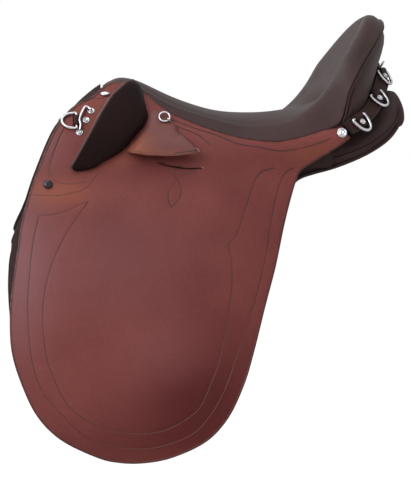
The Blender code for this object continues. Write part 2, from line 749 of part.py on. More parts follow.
PAD_SWELL = (0.55, 0.85, 1.0, 1.0, 0.94, 0.82, 0.66, 0.40)
PAD_SECTION = ((0.0, 0.10), (0.03, 0.42), (0.12, 0.74), (0.28, 0.95), (0.46, 1.0), (0.64, 0.92),
               (0.82, 0.66), (0.94, 0.34), (1.0, 0.10))
SKIRT = (
    (-0.1040, 0.0885), (-0.096, 0.0740), (-0.081, 0.057), (-0.0735, 0.048), (-0.080, 0.0455),
    (-0.111, 0.0425), (-0.150, 0.044), (-0.1645, 0.046), (-0.1575, 0.062), (-0.146, 0.076),
    (-0.1385, 0.093), (-0.128, 0.1035),
)
SLOT_REAR = (-0.066, 0.0245)
SLOT_FRONT = (-0.130, 0.033)
SLOT_WIDTH = 0.005
STIRRUP_WINDOW = ((-0.165, 0.045), (-0.079, 0.045), (-0.079, 0.076), (-0.165, 0.076))


def seat_edge_line(drop):
    """Seat edge in the side view, from the tab forward to the pommel, a drop below it."""
    rows = [row for row in rib_rows() if -0.170 < row[0] < 0.112]
    return [(row[0], row[2] - drop) for row in rows[::-1]]


def flap_top_outline():
    top = smooth_path([(p[0], p[1]) for p in FLAP_FRONT[::-1]], 1)
    front = [tuple(p) for p in top]
    return front + seat_edge_line(2 * GAP)[::-1] + list(TAB[::-1]) + [FLAP_BREAK_REAR, FLAP_BREAK_FRONT]


def prism(outline, depth_in, depth_out):
    """Closed cutter through the near side over a small outline in the side view."""
    rings = []
    for depth in (depth_in, -depth_out):
        rings.append([near_point(x, z, depth) for x, z in outline])
    return loft(rings)


def make_flap_top():
    outline = [(x, max(z, BEND_HEIGHT + GAP / 2)) for x, z in flap_top_outline()]
    return leather(outline, 0.0, FLAP_LEATHER)


def make_flap():
    outline = smooth_path([FLAP_BREAK_FRONT] + list(FLAP_LOWER) + [FLAP_BREAK_REAR], 2)
    outline = [(x, min(z, BEND_HEIGHT - GAP / 2)) for x, z in outline]
    return leather(outline, 0.0, FLAP_LEATHER)


def slot_outline():
    (ax, az), (bx, bz) = SLOT_FRONT, SLOT_REAR
    length = math.hypot(bx - ax, bz - az)
    nx, nz = -(bz - az) / length * SLOT_WIDTH / 2, (bx - ax) / length * SLOT_WIDTH / 2
    return [(ax - nx, az - nz), (bx - nx, bz - nz), (bx + nx, bz + nz), (ax + nx, az + nz)]


def make_knee_pad():
    """Stuffed pad between its front and rear edge, highest along the middle."""
    fronts, rears = smooth_path(PAD_FRONT, 2), smooth_path(PAD_REAR, 2)
    swells = smooth_path([(v,) for v in PAD_SWELL], 2)
    outer, inner = [], []
    for (fx, fz), (rx, rz), (swell,) in zip(fronts, rears, swells):
        crest, base = [], []
        for share, height in PAD_SECTION:
            x, z = fx + (rx - fx) * share, fz + (rz - fz) * share
            spot, rear, up, out = side_frame(x, z, -GAP)
            crest.append(tuple(spot + out * KNEE_PAD_HEIGHT * height * swell))
            base.append(tuple(near_point(x, z, -2 * GAP)))
        outer.append(crest)
        inner.append(base)
    return slab(outer, inner)


def skirt_lift(x, z):
    rise = smoothstep((0.092 - z) / 0.036)
    return GAP + SKIRT_LIFT * rise


def make_skirt():
    return sheet(list(SKIRT), lambda x, z: near_point(x, z, -skirt_lift(x, z) - SKIRT_LEATHER),
                 lambda x, z: near_point(x, z, -skirt_lift(x, z)))


# Sweat flap under the flap, with a tongue up to the pommel ahead of the tree
SWEAT_FRONT = ((-0.207, 0.1405), (-0.2290, 0.1225), (-0.2640, 0.0926), (-0.2868, 0.0588),
               (-0.3003, 0.0235), (-0.3075, -0.003))
SWEAT_LOWER = (
    (-0.3185, -0.038), (-0.3275, -0.061), (-0.3334, -0.0755), (-0.3315, -0.0815), (-0.3358, -0.094),
    (-0.3376, -0.117), (-0.3378, -0.150), (-0.3345, -0.181), (-0.3240, -0.221),
    (-0.310, -0.260), (-0.290, -0.301), (-0.261, -0.331), (-0.217, -0.3535), (-0.190, -0.360),
    (-0.157, -0.3615), (-0.120, -0.356), (-0.077, -0.338), (-0.049, -0.309), (-0.028, -0.267),
    (-0.015, -0.225), (0.003, -0.160), (0.019, -0.106), (0.0325, -0.052), (0.048, -0.008),
    (0.055, 0.0145),
)
SWEAT_TONGUE = ((-0.242, 0.015), (-0.234, 0.057), (-0.218, 0.090), (-0.204, 0.119))


def make_sweat_flap():
    outline = list(SWEAT_FRONT) + list(SWEAT_LOWER) + list(SWEAT_TONGUE)
    return leather(outline, SWEAT_DEPTH, SWEAT_LEATHER)


def girth_point(place):
    """Girth strap with its row of holes, hanging behind the flap."""
    half = GIRTH_POINT_WIDTH / 2
    top, low = BEND_HEIGHT - 0.002, BEND_HEIGHT - 0.002 - GIRTH_POINT_DROP
    outline = [(place - half, top), (place - half, low + 0.012), (place - half * 0.6, low),
               (place + half * 0.6, low), (place + half, low + 0.012), (place + half, top)]
    return leather(outline, POINT_DEPTH, POINT_LEATHER)


def add_girth_points():
    for label, place in (("a", -0.095), ("b", -0.045)):
        for end, sign in (("near", 1), ("off", -1)):
            bm = girth_point(place)
            piece = add_piece("girth_point_%s_%s" % (label, end), bm if sign > 0 else mirrored(bm),
                              LEATHER_TAN)
            cutter = bmesh.new()
            for k in range(5):
                z = BEND_HEIGHT - GIRTH_POINT_DROP + 0.020 + GIRTH_HOLE_PITCH * k
                ring = [(place + GIRTH_HOLE_RADIUS * math.cos(math.pi * t / 4),
                         z + GIRTH_HOLE_RADIUS * math.sin(math.pi * t / 4)) for t in range(8)]
                hole = prism(ring, POINT_DEPTH + CUT_INSIDE, 0.002)
                mesh = bpy.data.meshes.new("hole")
                hole.to_mesh(mesh)
                hole.free()
                cutter.from_mesh(mesh)
                bpy.data.meshes.remove(mesh)
            if sign < 0:
                mirrored(cutter)
            cut_with(piece, "holes_%s_%s" % (label, end), cutter)


# Small pieces are drawn in a local frame: a rearward or along, b up or across, c outward
def placed(frame, a, b, c):
    spot, along, across, out = frame
    return spot + along * a + across * b + out * c


def dome(frame, radius, stretch, rise, foot=0.001, sides=16):
    """Low round head on a short cylindrical foot."""
    rings = []
    for share, lift in ((1.0, 0.0), (1.0, foot), (0.82, foot + rise * 0.55), (0.45, foot + rise * 0.92)):
        rings.append([placed(frame, radius * share * stretch * math.cos(2 * math.pi * k / sides),
                             radius * share * math.sin(2 * math.pi * k / sides), lift)
                      for k in range(sides)])
    return loft(rings)


def band(frame, profile, width):
    """Flat strip of a closed profile in the across-outward plane, with a width along."""
    return loft([[placed(frame, a, b, c) for b, c in profile] for a in (-width / 2, width / 2)])


def chape_profile(wire_radius, tail_up, tail_down):
    """Leather looped over a wire that lies along the frame's first axis, both ends sewn down."""
    inner = wire_radius + GAP
    outer = inner + CHAPE_LEATHER
    floor = -(wire_radius + GAP)
    turns = [math.radians(t) for t in (0, 36, 72, 108, 144, 180)]
    over = [(outer * math.cos(t), outer * math.sin(t)) for t in turns]
    under = [(inner * math.cos(t), inner * math.sin(t)) for t in turns[::-1]]
    top = floor + CHAPE_LEATHER
    rear_tail = [(tail_up, floor), (tail_up, top), (outer, top)]
    front_tail = [(-outer, top), (-tail_down, top), (-tail_down, floor), (-inner, floor)]
    return rear_tail + over[1:-1] + front_tail + under[1:-1] + [(inner, floor)]


def dee_path(half, length):
    """Dee with its bar on the frame's first axis and its bow towards minus the second."""
    points = [(-half, 0.0), (0.0, 0.0), (half, 0.0)]
    for t in (0, 22, 45, 67, 90, 113, 135, 158, 180):
        turn = math.radians(t)
        points.append((half * math.cos(turn), -0.004 - (length - 0.004) * math.sin(turn)))
    return points


def cantle_frame(share):
    """Local frame on the dee strap, a share of the way from its near end to its middle."""
    tops, lows = strap_edge(STRAP_TOP, 8), strap_edge(STRAP_LOW, 8)
    lengths = np.concatenate(([0.0], np.cumsum(np.linalg.norm(np.diff(tops, axis=0), axis=1))))
    wanted = (1 - share) * lengths[-1]
    top = Vector([float(np.interp(wanted, lengths, tops[:, k])) for k in range(3)])
    low = Vector([float(np.interp(wanted, lengths, lows[:, k])) for k in range(3)])
    beyond = Vector([float(np.interp(wanted + 0.004, lengths, tops[:, k])) for k in range(3)])
    before = Vector([float(np.interp(wanted - 0.004, lengths, tops[:, k])) for k in range(3)])
    up = (top - low).normalized()
    out = (beyond - before).cross(up).normalized()
    if out.dot(top - Vector(TREE_MIDDLE)) < 0:
        out = -out
    return top, up.cross(out).normalized(), up, out


# Places of the fittings on the side, and the stirrup bar's own sizes
FRONT_DEE_PLACE = (-0.2415, 0.0898)
SKIRT_RING_PLACE = (-0.1125, 0.0905)
STIRRUP_PLACE = (-0.1165, 0.0535)
TAB_STUD_PLACE = (0.1260, 0.0735)
FLAP_STUD_PLACE = (-0.2820, 0.0027)
NAIL_PLACE = (-0.1995, 0.1282)
FRONT_STAPLE = ((-0.2275, 0.1073), (-0.2312, 0.1000), (-0.2347, 0.0908), (-0.2343, 0.0788))
BAR_OUTSET = 0.0063
BAR_NOSE = -0.038
CATCH_PIVOT = 0.0178
CATCH_RADIUS = 0.0055
CATCH_LENGTH = 0.0125

# Dees on the strap: place along it and extra height over it
DEE_SHARES = {"a": (0.100, 0.0012), "b": (0.440, 0.0006), "c": (0.735, 0.0004)}
DEE_DROP = 0.0065
CRUPPER_DROP = 0.009
DEE_CLEARANCE = 0.0006


def dee_frame(share, lift):
    top, along, up, out = cantle_frame(share)
    return top - up * DEE_DROP + out * (DEE_WIRE + DEE_CLEARANCE + lift), along, up, out


def front_dee_frame():
    spot, rear, up, out = side_frame(*FRONT_DEE_PLACE)
    return spot + out * (DEE_WIRE + DEE_CLEARANCE), -up, rear, out


def skirt_ring_frame():
    x, z = SKIRT_RING_PLACE
    spot, rear, up, out = side_frame(x, z, -skirt_lift(x, z) - SKIRT_LEATHER)
    toward = (up - rear).normalized()
    return spot + out * (SKIRT_RING_WIRE + 2 * DEE_CLEARANCE), (-toward).cross(out), -toward, out


def stirrup_frame():
    return side_frame(*STIRRUP_PLACE)


def make_dee(frame):
    path = [placed(frame, a, b, 0.0) for a, b in dee_path(DEE_HALF_WIDTH, DEE_LENGTH)]
    return flat_wire([tuple(p) for p in path], DEE_WIRE, frame[3], closed=True)


def make_chape(frame, tail_up, tail_down):
    lifted = (frame[0] - frame[3] * (DEE_CLEARANCE - 2 * GAP), frame[1], frame[2], frame[3])
    return band(lifted, chape_profile(DEE_WIRE, tail_up, tail_down), CHAPE_WIDTH)


def make_skirt_ring():
    frame = skirt_ring_frame()
    path = []
    for k in range(14):
        turn = 2 * math.pi * k / 14
        path.append(tuple(placed(frame, SKIRT_RING_RADIUS * math.sin(turn),
                                 -SKIRT_RING_RADIUS * (1 - math.cos(turn)), 0.0)))
    return flat_wire(path, SKIRT_RING_WIRE, frame[3], closed=True)


def make_skirt_staple():
    frame = skirt_ring_frame()
    reach = SKIRT_RING_WIRE + GAP + SKIRT_STAPLE_WIRE
    floor = -SKIRT_RING_WIRE
    points = [(-reach, floor), (-reach, 0.0)]
    points += [(-reach * math.cos(math.radians(t)), reach * math.sin(math.radians(t)))
               for t in (30, 60, 90, 120, 150)]
    points += [(reach, 0.0), (reach, floor)]
    return flat_wire([tuple(placed(frame, 0.0, b, c)) for b, c in points],
                     SKIRT_STAPLE_WIRE, frame[1])


def make_front_staple():
    path = []
    for x, z in FRONT_STAPLE:
        spot, rear, up, out = side_frame(x, z)
        path.append(tuple(spot + out * (CRUPPER_WIRE + 2 * GAP)))
    return wire(path, CRUPPER_WIRE)


def make_stirrup_bar():
    """Steel plate on the tree with a lug that turns back as the bar itself."""
    half = STIRRUP_BAR_HEIGHT / 2
    inner, outer = BAR_OUTSET, BAR_OUTSET + STIRRUP_BAR_STEEL
    frame = stirrup_frame()
    tail = BAR_NOSE + STIRRUP_BAR_LENGTH
    profile = [(0.024, -0.0033), (BAR_NOSE + 0.003, -0.0033), (BAR_NOSE, -0.0003), (BAR_NOSE, outer - 0.002),
               (BAR_NOSE + 0.002, outer), (tail, outer), (tail, inner), (BAR_NOSE + 0.008, inner),
               (BAR_NOSE + 0.008, -0.0003), (0.024, -0.0003)]
    return loft([[placed(frame, a, b, c) for a, c in profile] for b in (-half, half)])


def make_stirrup_catch():
    """Thumb piece in line with the bar, turning down about a pin across it."""
    frame = stirrup_frame()
    points = [(CATCH_PIVOT + CATCH_RADIUS * math.cos(math.radians(t)),
               CATCH_RADIUS * math.sin(math.radians(t))) for t in range(90, 271, 30)]
    points += [(CATCH_PIVOT + CATCH_LENGTH - 0.003, -CATCH_RADIUS), (CATCH_PIVOT + CATCH_LENGTH, -0.003),
               (CATCH_PIVOT + CATCH_LENGTH, 0.003), (CATCH_PIVOT + CATCH_LENGTH - 0.003, CATCH_RADIUS)]
    return loft([[placed(frame, a, b, c) for a, b in points]
                 for c in (BAR_OUTSET, BAR_OUTSET + STIRRUP_BAR_STEEL)])


def make_webbing():
    grid = []
    for row in rib_rows()[3:13]:
        start, direction, top, under = rib_surfaces(row)
        distances, heights = [r for r, z in under], [z for r, z in under]
        half = []
        for r in (0.0, WEBBING_HALF_WIDTH / 2, WEBBING_HALF_WIDTH):
            z = float(np.interp(r, distances, heights)) - 2 * GAP
            half.append((start, -r, z))
        grid.append(half[::-1] + [(x, -y, z) for x, y, z in half[1:]])
    low = [[(x, y, z - WEBBING_THICKNESS) for x, y, z in row] for row in grid]
    return slab(grid, low)


def make_crupper_loop():
    """Small fixed loop at the middle of the cantle, standing out behind the strap."""
    top, along, up, out = cantle_frame(1.0)
    base = top - up * CRUPPER_DROP + out * (CRUPPER_WIRE + DEE_CLEARANCE)
    rise = (out * 0.8 + up * 0.6).normalized()
    points = [(-0.005, 0.0), (0.0, 0.0), (0.005, 0.0)]
    points += [(0.005 * math.cos(math.radians(t)) * 1.1, 0.004 + 0.004 * math.sin(math.radians(t)))
               for t in (0, 45, 90, 135, 180)]
    path = [tuple(base + along * a + rise * b) for a, b in points]
    return flat_wire(path, CRUPPER_WIRE, along.cross(rise), closed=True)


def build_tree():
    heads = [(x, HEAD_DEPTH, HEAD_TOP, HEAD_FOOT, lean) for x, lean in HEAD_STATIONS]
    add_piece("tree_head", arch_band(heads, HEAD_THICKNESS), WOOD)
    facings = [(x, HEAD_DEPTH, HEAD_TOP, FACING_FOOT, FACING_LEAN) for x in FACING_PLACES]
    add_piece("pommel_facing", arch_band(facings, FACING_LEATHER), LEATHER_TAN)
    make_tree_cantle()
    add_pair("tree_bar", make_tree_bar, WOOD)
    add_pair("stirrup_bar", make_stirrup_bar, STEEL)
    frame = stirrup_frame()
    pivot = placed(frame, CATCH_PIVOT, 0.0, BAR_OUTSET + STIRRUP_BAR_STEEL / 2)
    add_pair("stirrup_catch", make_stirrup_catch, STEEL, pivot=tuple(pivot))
    add_piece("seat_webbing", make_webbing(), WEBBING)


def build_seat():
    make_seat()
    make_cantle_back()
    make_welt()
    make_dee_strap()
    add_piece("crupper_loop", make_crupper_loop(), CHROME)
    for label, (share, lift) in DEE_SHARES.items():
        frame = dee_frame(share, lift)
        add_pair("cantle_dee_" + label, lambda: make_dee(frame), CHROME, pivot=tuple(frame[0]))
        add_pair("cantle_chape_" + label, lambda: make_chape(frame, 0.0048, 0.0125), LEATHER_TAN)


def build_side():
    add_pair("panel", make_panel, LEATHER_UNDER)
    add_pair("sweat_flap", make_sweat_flap, LEATHER_DARK)
    add_girth_points()
    tops = add_pair("flap_top", make_flap_top, LEATHER_TAN)
    for piece, sign in zip(tops, (1, -1)):
        end = piece.name.split("_")[-1]
        slot = prism(slot_outline(), CUT_INSIDE, CUT_OUTSIDE)
        window = prism(STIRRUP_WINDOW, CUT_INSIDE, CUT_OUTSIDE)
        cut_with(piece, "slot_" + end, slot if sign > 0 else mirrored(slot))
        cut_with(piece, "window_" + end, window if sign > 0 else mirrored(window))
    add_pair("flap", make_flap, LEATHER_TAN, pivot=(0.0, -side(0.0, BEND_HEIGHT), BEND_HEIGHT))
    add_pair("knee_pad", make_knee_pad, LEATHER_PAD)
    add_pair("skirt", make_skirt, LEATHER_TAN)


def build_fittings():
    def stud(place, radius, stretch, rise):
        spot, rear, up, out = side_frame(*place)
        return lambda: dome((spot + out * GAP, rear, up, out), radius, stretch, rise)

    add_pair("tab_stud", stud(TAB_STUD_PLACE, TAB_STUD_RADIUS, 1.0, 0.003), CHROME)
    add_pair("flap_stud", stud(FLAP_STUD_PLACE, FLAP_STUD_RADIUS, 1.0, 0.0025), BLACK_METAL)
    add_pair("pommel_nail", stud(NAIL_PLACE, POMMEL_NAIL_RADIUS * 0.62, 1.6, 0.0022), CHROME)
    frame = front_dee_frame()
    add_pair("front_dee", lambda: make_dee(frame), CHROME, pivot=tuple(frame[0]))
    add_pair("front_chape", lambda: make_chape(frame, 0.0048, 0.0125), LEATHER_TAN)
    add_pair("front_staple", make_front_staple, CHROME)
    add_pair("skirt_ring", make_skirt_ring, CHROME, pivot=tuple(skirt_ring_frame()[0]))
    add_pair("skirt_staple", make_skirt_staple, CHROME)


def main():
    for thing in list(bpy.data.objects):
        bpy.data.objects.remove(thing, do_unlink=True)
    build_tree()
    build_seat()
    build_side()
    build_fittings()


main()
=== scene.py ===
"""Looks of the stock saddle: leather, stitching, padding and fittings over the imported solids."""
import logging
import math
from collections.abc import Callable, Sequence
from dataclasses import dataclass, field
from enum import Enum

import bmesh
import bpy
import numpy as np
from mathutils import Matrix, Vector
from mathutils.bvhtree import BVHTree
from mathutils.geometry import delaunay_2d_cdt


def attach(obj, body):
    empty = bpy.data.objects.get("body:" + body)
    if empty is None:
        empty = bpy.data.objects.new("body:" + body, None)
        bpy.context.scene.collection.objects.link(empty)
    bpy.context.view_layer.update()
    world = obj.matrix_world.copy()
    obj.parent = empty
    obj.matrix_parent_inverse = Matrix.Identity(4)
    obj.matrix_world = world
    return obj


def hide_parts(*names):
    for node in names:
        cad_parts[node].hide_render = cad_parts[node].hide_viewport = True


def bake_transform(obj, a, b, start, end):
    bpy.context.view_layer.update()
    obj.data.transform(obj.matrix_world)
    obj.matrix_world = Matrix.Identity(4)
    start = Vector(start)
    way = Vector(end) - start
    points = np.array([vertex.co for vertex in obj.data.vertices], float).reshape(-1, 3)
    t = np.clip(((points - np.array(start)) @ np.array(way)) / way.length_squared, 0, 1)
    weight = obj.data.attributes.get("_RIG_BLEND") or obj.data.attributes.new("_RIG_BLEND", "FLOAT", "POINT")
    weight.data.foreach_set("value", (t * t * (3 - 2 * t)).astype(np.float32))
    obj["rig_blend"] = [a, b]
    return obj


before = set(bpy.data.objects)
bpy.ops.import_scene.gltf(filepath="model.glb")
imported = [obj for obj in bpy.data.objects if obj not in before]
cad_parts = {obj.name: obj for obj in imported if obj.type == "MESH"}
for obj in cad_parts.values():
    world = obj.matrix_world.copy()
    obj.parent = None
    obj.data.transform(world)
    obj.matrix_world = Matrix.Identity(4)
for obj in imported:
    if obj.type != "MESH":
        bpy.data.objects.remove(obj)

log = logging.getLogger("stock_saddle")

Table = Sequence[Sequence[float]]
Colour = tuple[float, float, float]

WORN_RIM = 0.003
FINE_STEP = 0.0015
CORD_STEP = 0.003
CORD_SIDES = 8


class End(Enum):
    """The two sides of the saddle."""
    NEAR = "near"
    OFF = "off"


class Mark(str, Enum):
    """Names of the values that a mesh carries for its finish."""
    EDGE = "edge"
    SEAM = "seam"
    WARM = "warm"
    # a purplish colour that paints the sheen of the lamps on the leather
    PAINTED_SHEEN = "plum"
    # a darker colour that paints shade where the flap turns away and under the skirt
    PAINTED_SHADE = "deep"


def smooth(t: np.ndarray | float) -> np.ndarray:
    """Ease from 0 to 1."""
    t = np.clip(t, 0.0, 1.0)
    return t * t * (3 - 2 * t)


def table_values(table: Table, keys: np.ndarray | float) -> np.ndarray:
    """Monotone cubic through the rows of a table, held flat beyond its ends.

    Args:
        table: rows of key and value, in rising order.
        keys: where the table is read.

    Returns:
        The values at the keys.
    """
    k = np.array([row[0] for row in table], float)
    v = np.array([row[1] for row in table], float)
    h = np.diff(k)
    s = np.diff(v) / h
    m = np.concatenate((s[:1], np.where(s[:-1] * s[1:] > 0, 2 * s[:-1] * s[1:] / np.where(
        s[:-1] + s[1:] == 0, 1.0, s[:-1] + s[1:]), 0.0), s[-1:]))
    q = np.clip(np.asarray(keys, float), k[0], k[-1])
    i = np.clip(np.searchsorted(k, q, side="right") - 1, 0, len(h) - 1)
    t = (q - k[i]) / h[i]
    return ((2 * t**3 - 3 * t**2 + 1) * v[i] + (t**3 - 2 * t**2 + t) * h[i] * m[i]
            + (3 * t**2 - 2 * t**3) * v[i + 1] + (t**3 - t**2) * h[i] * m[i + 1])


def curve(points: Table, per_span: int, closed: bool = False) -> np.ndarray:
    """Catmull-Rom curve through a few points.

    Args:
        points: the points, of any dimension.
        per_span: steps between two points.
        closed: whether the curve returns to its start.

    Returns:
        The curve's points, one per row.
    """
    p = np.array(points, float)
    n = len(p)
    if closed:
        p = np.vstack((p[-1:], p, p[:2]))
        spans = n
    else:
        p = np.vstack((2 * p[:1] - p[1:2], p, 2 * p[-1:] - p[-2:-1]))
        spans = n - 1
    t = (np.arange(per_span) / per_span)[:, None]
    out = []
    for a, b, c, d in (p[i:i + 4] for i in range(spans)):
        out.append(0.5 * (2 * b + (c - a) * t + (2 * a - 5 * b + 4 * c - d) * t * t
                          + (3 * b - a - 3 * c + d) * t**3))
    return np.vstack(out) if closed else np.vstack(out + [p[-2:-1]])


def spaced(path: np.ndarray, step: float, closed: bool = False) -> np.ndarray:
    """Path with its points an even step apart.

    Args:
        path: the path's points.
        step: distance wanted between neighbours.
        closed: whether the last point joins the first.

    Returns:
        The new points, without a repeated last one where it is closed.
    """
    p = np.vstack((path, path[:1])) if closed else path
    lengths = np.concatenate(([0.0], np.cumsum(np.linalg.norm(np.diff(p, axis=0), axis=1))))
    count = max(int(round(lengths[-1] / step)), 2)
    places = np.linspace(0.0, lengths[-1], count + 1)
    if closed:
        places = places[:-1]
    return np.column_stack([np.interp(places, lengths, p[:, k]) for k in range(p.shape[1])])


def distances(points: np.ndarray, starts: np.ndarray, ends: np.ndarray) -> np.ndarray:
    """Distance from each point to the nearest of the segments.

    Args:
        points: the points.
        starts: first end of each segment.
        ends: its other end.

    Returns:
        One distance for each point.
    """
    best = np.full(len(points), 1e9)
    run = ends - starts
    square = np.maximum((run**2).sum(1), 1e-18)
    for first in range(0, len(starts), 400):
        a, r, q = starts[first:first + 400], run[first:first + 400], square[first:first + 400]
        rel = points[:, None, :] - a[None]
        t = np.clip((rel * r[None]).sum(2) / q[None], 0, 1)
        gap = rel - t[..., None] * r[None]
        best = np.minimum(best, np.sqrt((gap**2).sum(2)).min(1))
    return best


def to_line(points: np.ndarray, line: np.ndarray, closed: bool = False) -> np.ndarray:
    """Distance from each point to a line of points.

    Args:
        points: the points.
        line: the line.
        closed: whether its last point joins the first.

    Returns:
        One distance for each point.
    """
    ends = np.roll(line, -1, axis=0) if closed else line[1:]
    return distances(points, line if closed else line[:-1], ends)


def inside(points: np.ndarray, loop: np.ndarray) -> np.ndarray:
    """Whether each point lies inside a closed loop.

    Args:
        points: the points.
        loop: the loop's points.

    Returns:
        True for each point inside.
    """
    hit = np.zeros(len(points), bool)
    x, y = points[:, 0], points[:, 1]
    for (ax, ay), (bx, by) in zip(loop, np.roll(loop, -1, axis=0)):
        if ay != by:
            hit ^= ((ay > y) != (by > y)) & (x < (bx - ax) * (y - ay) / (by - ay) + ax)
    return hit


def inset(loop: np.ndarray, depth: float) -> np.ndarray:
    """Loop moved to its own left by a depth.

    Args:
        loop: the loop's points.
        depth: how far.

    Returns:
        The new points.
    """
    before = loop - np.roll(loop, 1, axis=0)
    after = np.roll(loop, -1, axis=0) - loop
    before /= np.linalg.norm(before, axis=1, keepdims=True)
    after /= np.linalg.norm(after, axis=1, keepdims=True)
    a = np.column_stack((-before[:, 1], before[:, 0]))
    b = np.column_stack((-after[:, 1], after[:, 0]))
    return loop + depth * (a + b) / np.maximum(1 + (a * b).sum(1, keepdims=True), 0.5)


def beside(line: np.ndarray, offset: float) -> np.ndarray:
    """Open line moved to its own left by an offset.

    Args:
        line: the line's points.
        offset: how far.

    Returns:
        The new points.
    """
    run = np.gradient(line, axis=0)
    run /= np.maximum(np.linalg.norm(run, axis=1, keepdims=True), 1e-9)
    return line + offset * np.column_stack((-run[:, 1], run[:, 0]))


@dataclass
class Shell:
    """Mesh data of one closed body, with the values that its finish reads."""
    verts: np.ndarray
    faces: list[tuple[int, ...]]
    marks: dict[str, np.ndarray] = field(default_factory=dict)

    def mirrored(self) -> "Shell":
        """The same body on the other side of the centre line."""
        return Shell(self.verts * (1, -1, 1), [f[::-1] for f in self.faces], self.marks)

    def on(self, end: End) -> "Shell":
        """The body for one side, drawn for the near one."""
        return self if end is End.NEAR else self.mirrored()

    def joined(self, other: "Shell") -> "Shell":
        """Both bodies in one mesh.

        Args:
            other: the second body.

        Returns:
            The two, with 0 for a mark that one of them lacks.
        """
        n = len(self.verts)
        faces = self.faces + [tuple(i + n for i in f) for f in other.faces]
        names = set(self.marks) | set(other.marks)
        marks = {name: np.concatenate((self.marks.get(name, np.zeros(n)),
                                       other.marks.get(name, np.zeros(len(other.verts)))))
                 for name in names}
        return Shell(np.vstack((self.verts, other.verts)), faces, marks)

    def piece(self, name: str) -> bpy.types.Object:
        """Object of this body, smooth shaded, in the scene.

        Args:
            name: the object's name.

        Returns:
            The object, with the marks as attributes of its points.
        """
        mesh = bpy.data.meshes.new(name)
        mesh.from_pydata([tuple(v) for v in self.verts], [], self.faces)
        mesh.polygons.foreach_set("use_smooth", [True] * len(mesh.polygons))
        for label, values in self.marks.items():
            layer = mesh.attributes.new(str(label), "FLOAT", "POINT")
            layer.data.foreach_set("value", np.asarray(values, np.float32))
        obj = bpy.data.objects.new(name, mesh)
        bpy.context.collection.objects.link(obj)
        return obj


def combined(shells: Sequence[Shell]) -> Shell:
    """One mesh of many bodies.

    Args:
        shells: the bodies.

    Returns:
        The mesh.
    """
    whole = shells[0]
    for shell in shells[1:]:
        whole = whole.joined(shell)
    return whole


def lattice(grid: np.ndarray, closed: bool = False) -> list[tuple[int, ...]]:
    """Faces of a grid of points.

    Args:
        grid: points by row and column.
        closed: whether the last column joins the first.

    Returns:
        Quads that run over the rows and columns.
    """
    rows, cols = grid.shape[:2]
    out = []
    for i in range(rows - 1):
        for j in range(cols if closed else cols - 1):
            k = (j + 1) % cols
            out.append((i * cols + j, (i + 1) * cols + j, (i + 1) * cols + k, i * cols + k))
    return out


def loft(rings: Sequence[np.ndarray], around: bool = False) -> Shell:
    """Closed body through rings of equal count.

    Args:
        rings: the rings, each a closed loop of points.
        around: whether the last ring joins the first, instead of both being capped.

    Returns:
        The body, with its faces turned out.
    """
    grid = np.array([np.array(r, float) for r in rings])
    rows, cols = grid.shape[:2]
    faces = lattice(grid, closed=True)
    if around:
        faces += [((rows - 1) * cols + j, j, (j + 1) % cols, (rows - 1) * cols + (j + 1) % cols)
                  for j in range(cols)]
    else:
        faces += [tuple(range(cols)), tuple((rows - 1) * cols + j for j in range(cols))[::-1]]
    return faced_out(Shell(grid.reshape(-1, 3), faces))


def faced_out(shell: Shell) -> Shell:
    """The body with its faces turned out.

    Args:
        shell: the body.

    Returns:
        The same, or with all faces flipped.
    """
    volume = 0.0
    for f in shell.faces:
        a = shell.verts[f[0]]
        for i, j in zip(f[1:-1], f[2:]):
            volume += float(np.dot(a, np.cross(shell.verts[i], shell.verts[j])))
    return shell if volume > 0 else Shell(shell.verts, [f[::-1] for f in shell.faces], shell.marks)


def slab(outer: np.ndarray, inner: np.ndarray, rounding: float = 0.0) -> Shell:
    """Closed body between two equal grids, with a round rim.

    Args:
        outer: the face that is seen.
        inner: the face behind it.
        rounding: share of the thickness that the rim's outer line gives up, 0 for a square one.

    Returns:
        The body, with the distance from its rim as its edge mark.
    """
    outer, inner = np.array(outer, float), np.array(inner, float)
    if rounding:
        rim = np.zeros(outer.shape[:2], bool)
        rim[0] = rim[-1] = True
        rim[:, 0] = rim[:, -1] = True
        drop = (inner - outer)[rim] * rounding
        outer[rim] += drop
        inner[rim] -= drop
    rows, cols = outer.shape[:2]
    n = rows * cols
    top = lattice(outer)
    faces = top + [tuple(i + n for i in f[::-1]) for f in top]
    loop = [j for j in range(cols)] + [i * cols + cols - 1 for i in range(1, rows)]
    loop += [(rows - 1) * cols + j for j in range(cols - 2, -1, -1)]
    loop += [i * cols for i in range(rows - 2, 0, -1)]
    faces += [(a, b, b + n, a + n) for a, b in zip(loop, loop[1:] + loop[:1])]
    flat = outer.reshape(-1, 3)
    edge = np.clip(1 - to_line(flat, flat[loop], closed=True) / WORN_RIM, 0, 1)
    body = Shell(np.vstack((flat, inner.reshape(-1, 3))), faces,
                 {Mark.EDGE.value: np.concatenate((edge, np.ones(n)))})
    return faced_out(body)


def tube(path: np.ndarray, radius: float | np.ndarray, sides: int = 10, closed: bool = False) -> Shell:
    """Round cord or wire along a path.

    Args:
        path: the line that it follows.
        radius: one radius, or one for each point.
        sides: faces round it.
        closed: whether it returns to its start.

    Returns:
        The body, capped where it ends.
    """
    p = np.array(path, float)
    n = len(p)
    radii = np.full(n, radius) if np.isscalar(radius) else np.array(radius)
    rings, normal = [], None
    for i in range(n):
        before = p[i - 1] if closed or i > 0 else p[i]
        after = p[(i + 1) % n] if closed or i < n - 1 else p[i]
        along = Vector(after - before).normalized()
        if normal is None:
            normal = along.orthogonal().normalized()
        normal = (normal - along * normal.dot(along)).normalized()
        other = along.cross(normal)
        turns = [2 * math.pi * k / sides for k in range(sides)]
        rings.append([p[i] + radii[i] * np.array(math.cos(t) * normal + math.sin(t) * other)
                      for t in turns])
    if closed:
        first, last = np.array(rings[0]), np.array(rings[-1])
        shift = int(np.argmin([np.linalg.norm(np.roll(first, k, axis=0) - last) for k in range(sides)]))
        if shift:
            return ring_closed(rings, shift)
    return loft(rings, around=closed)


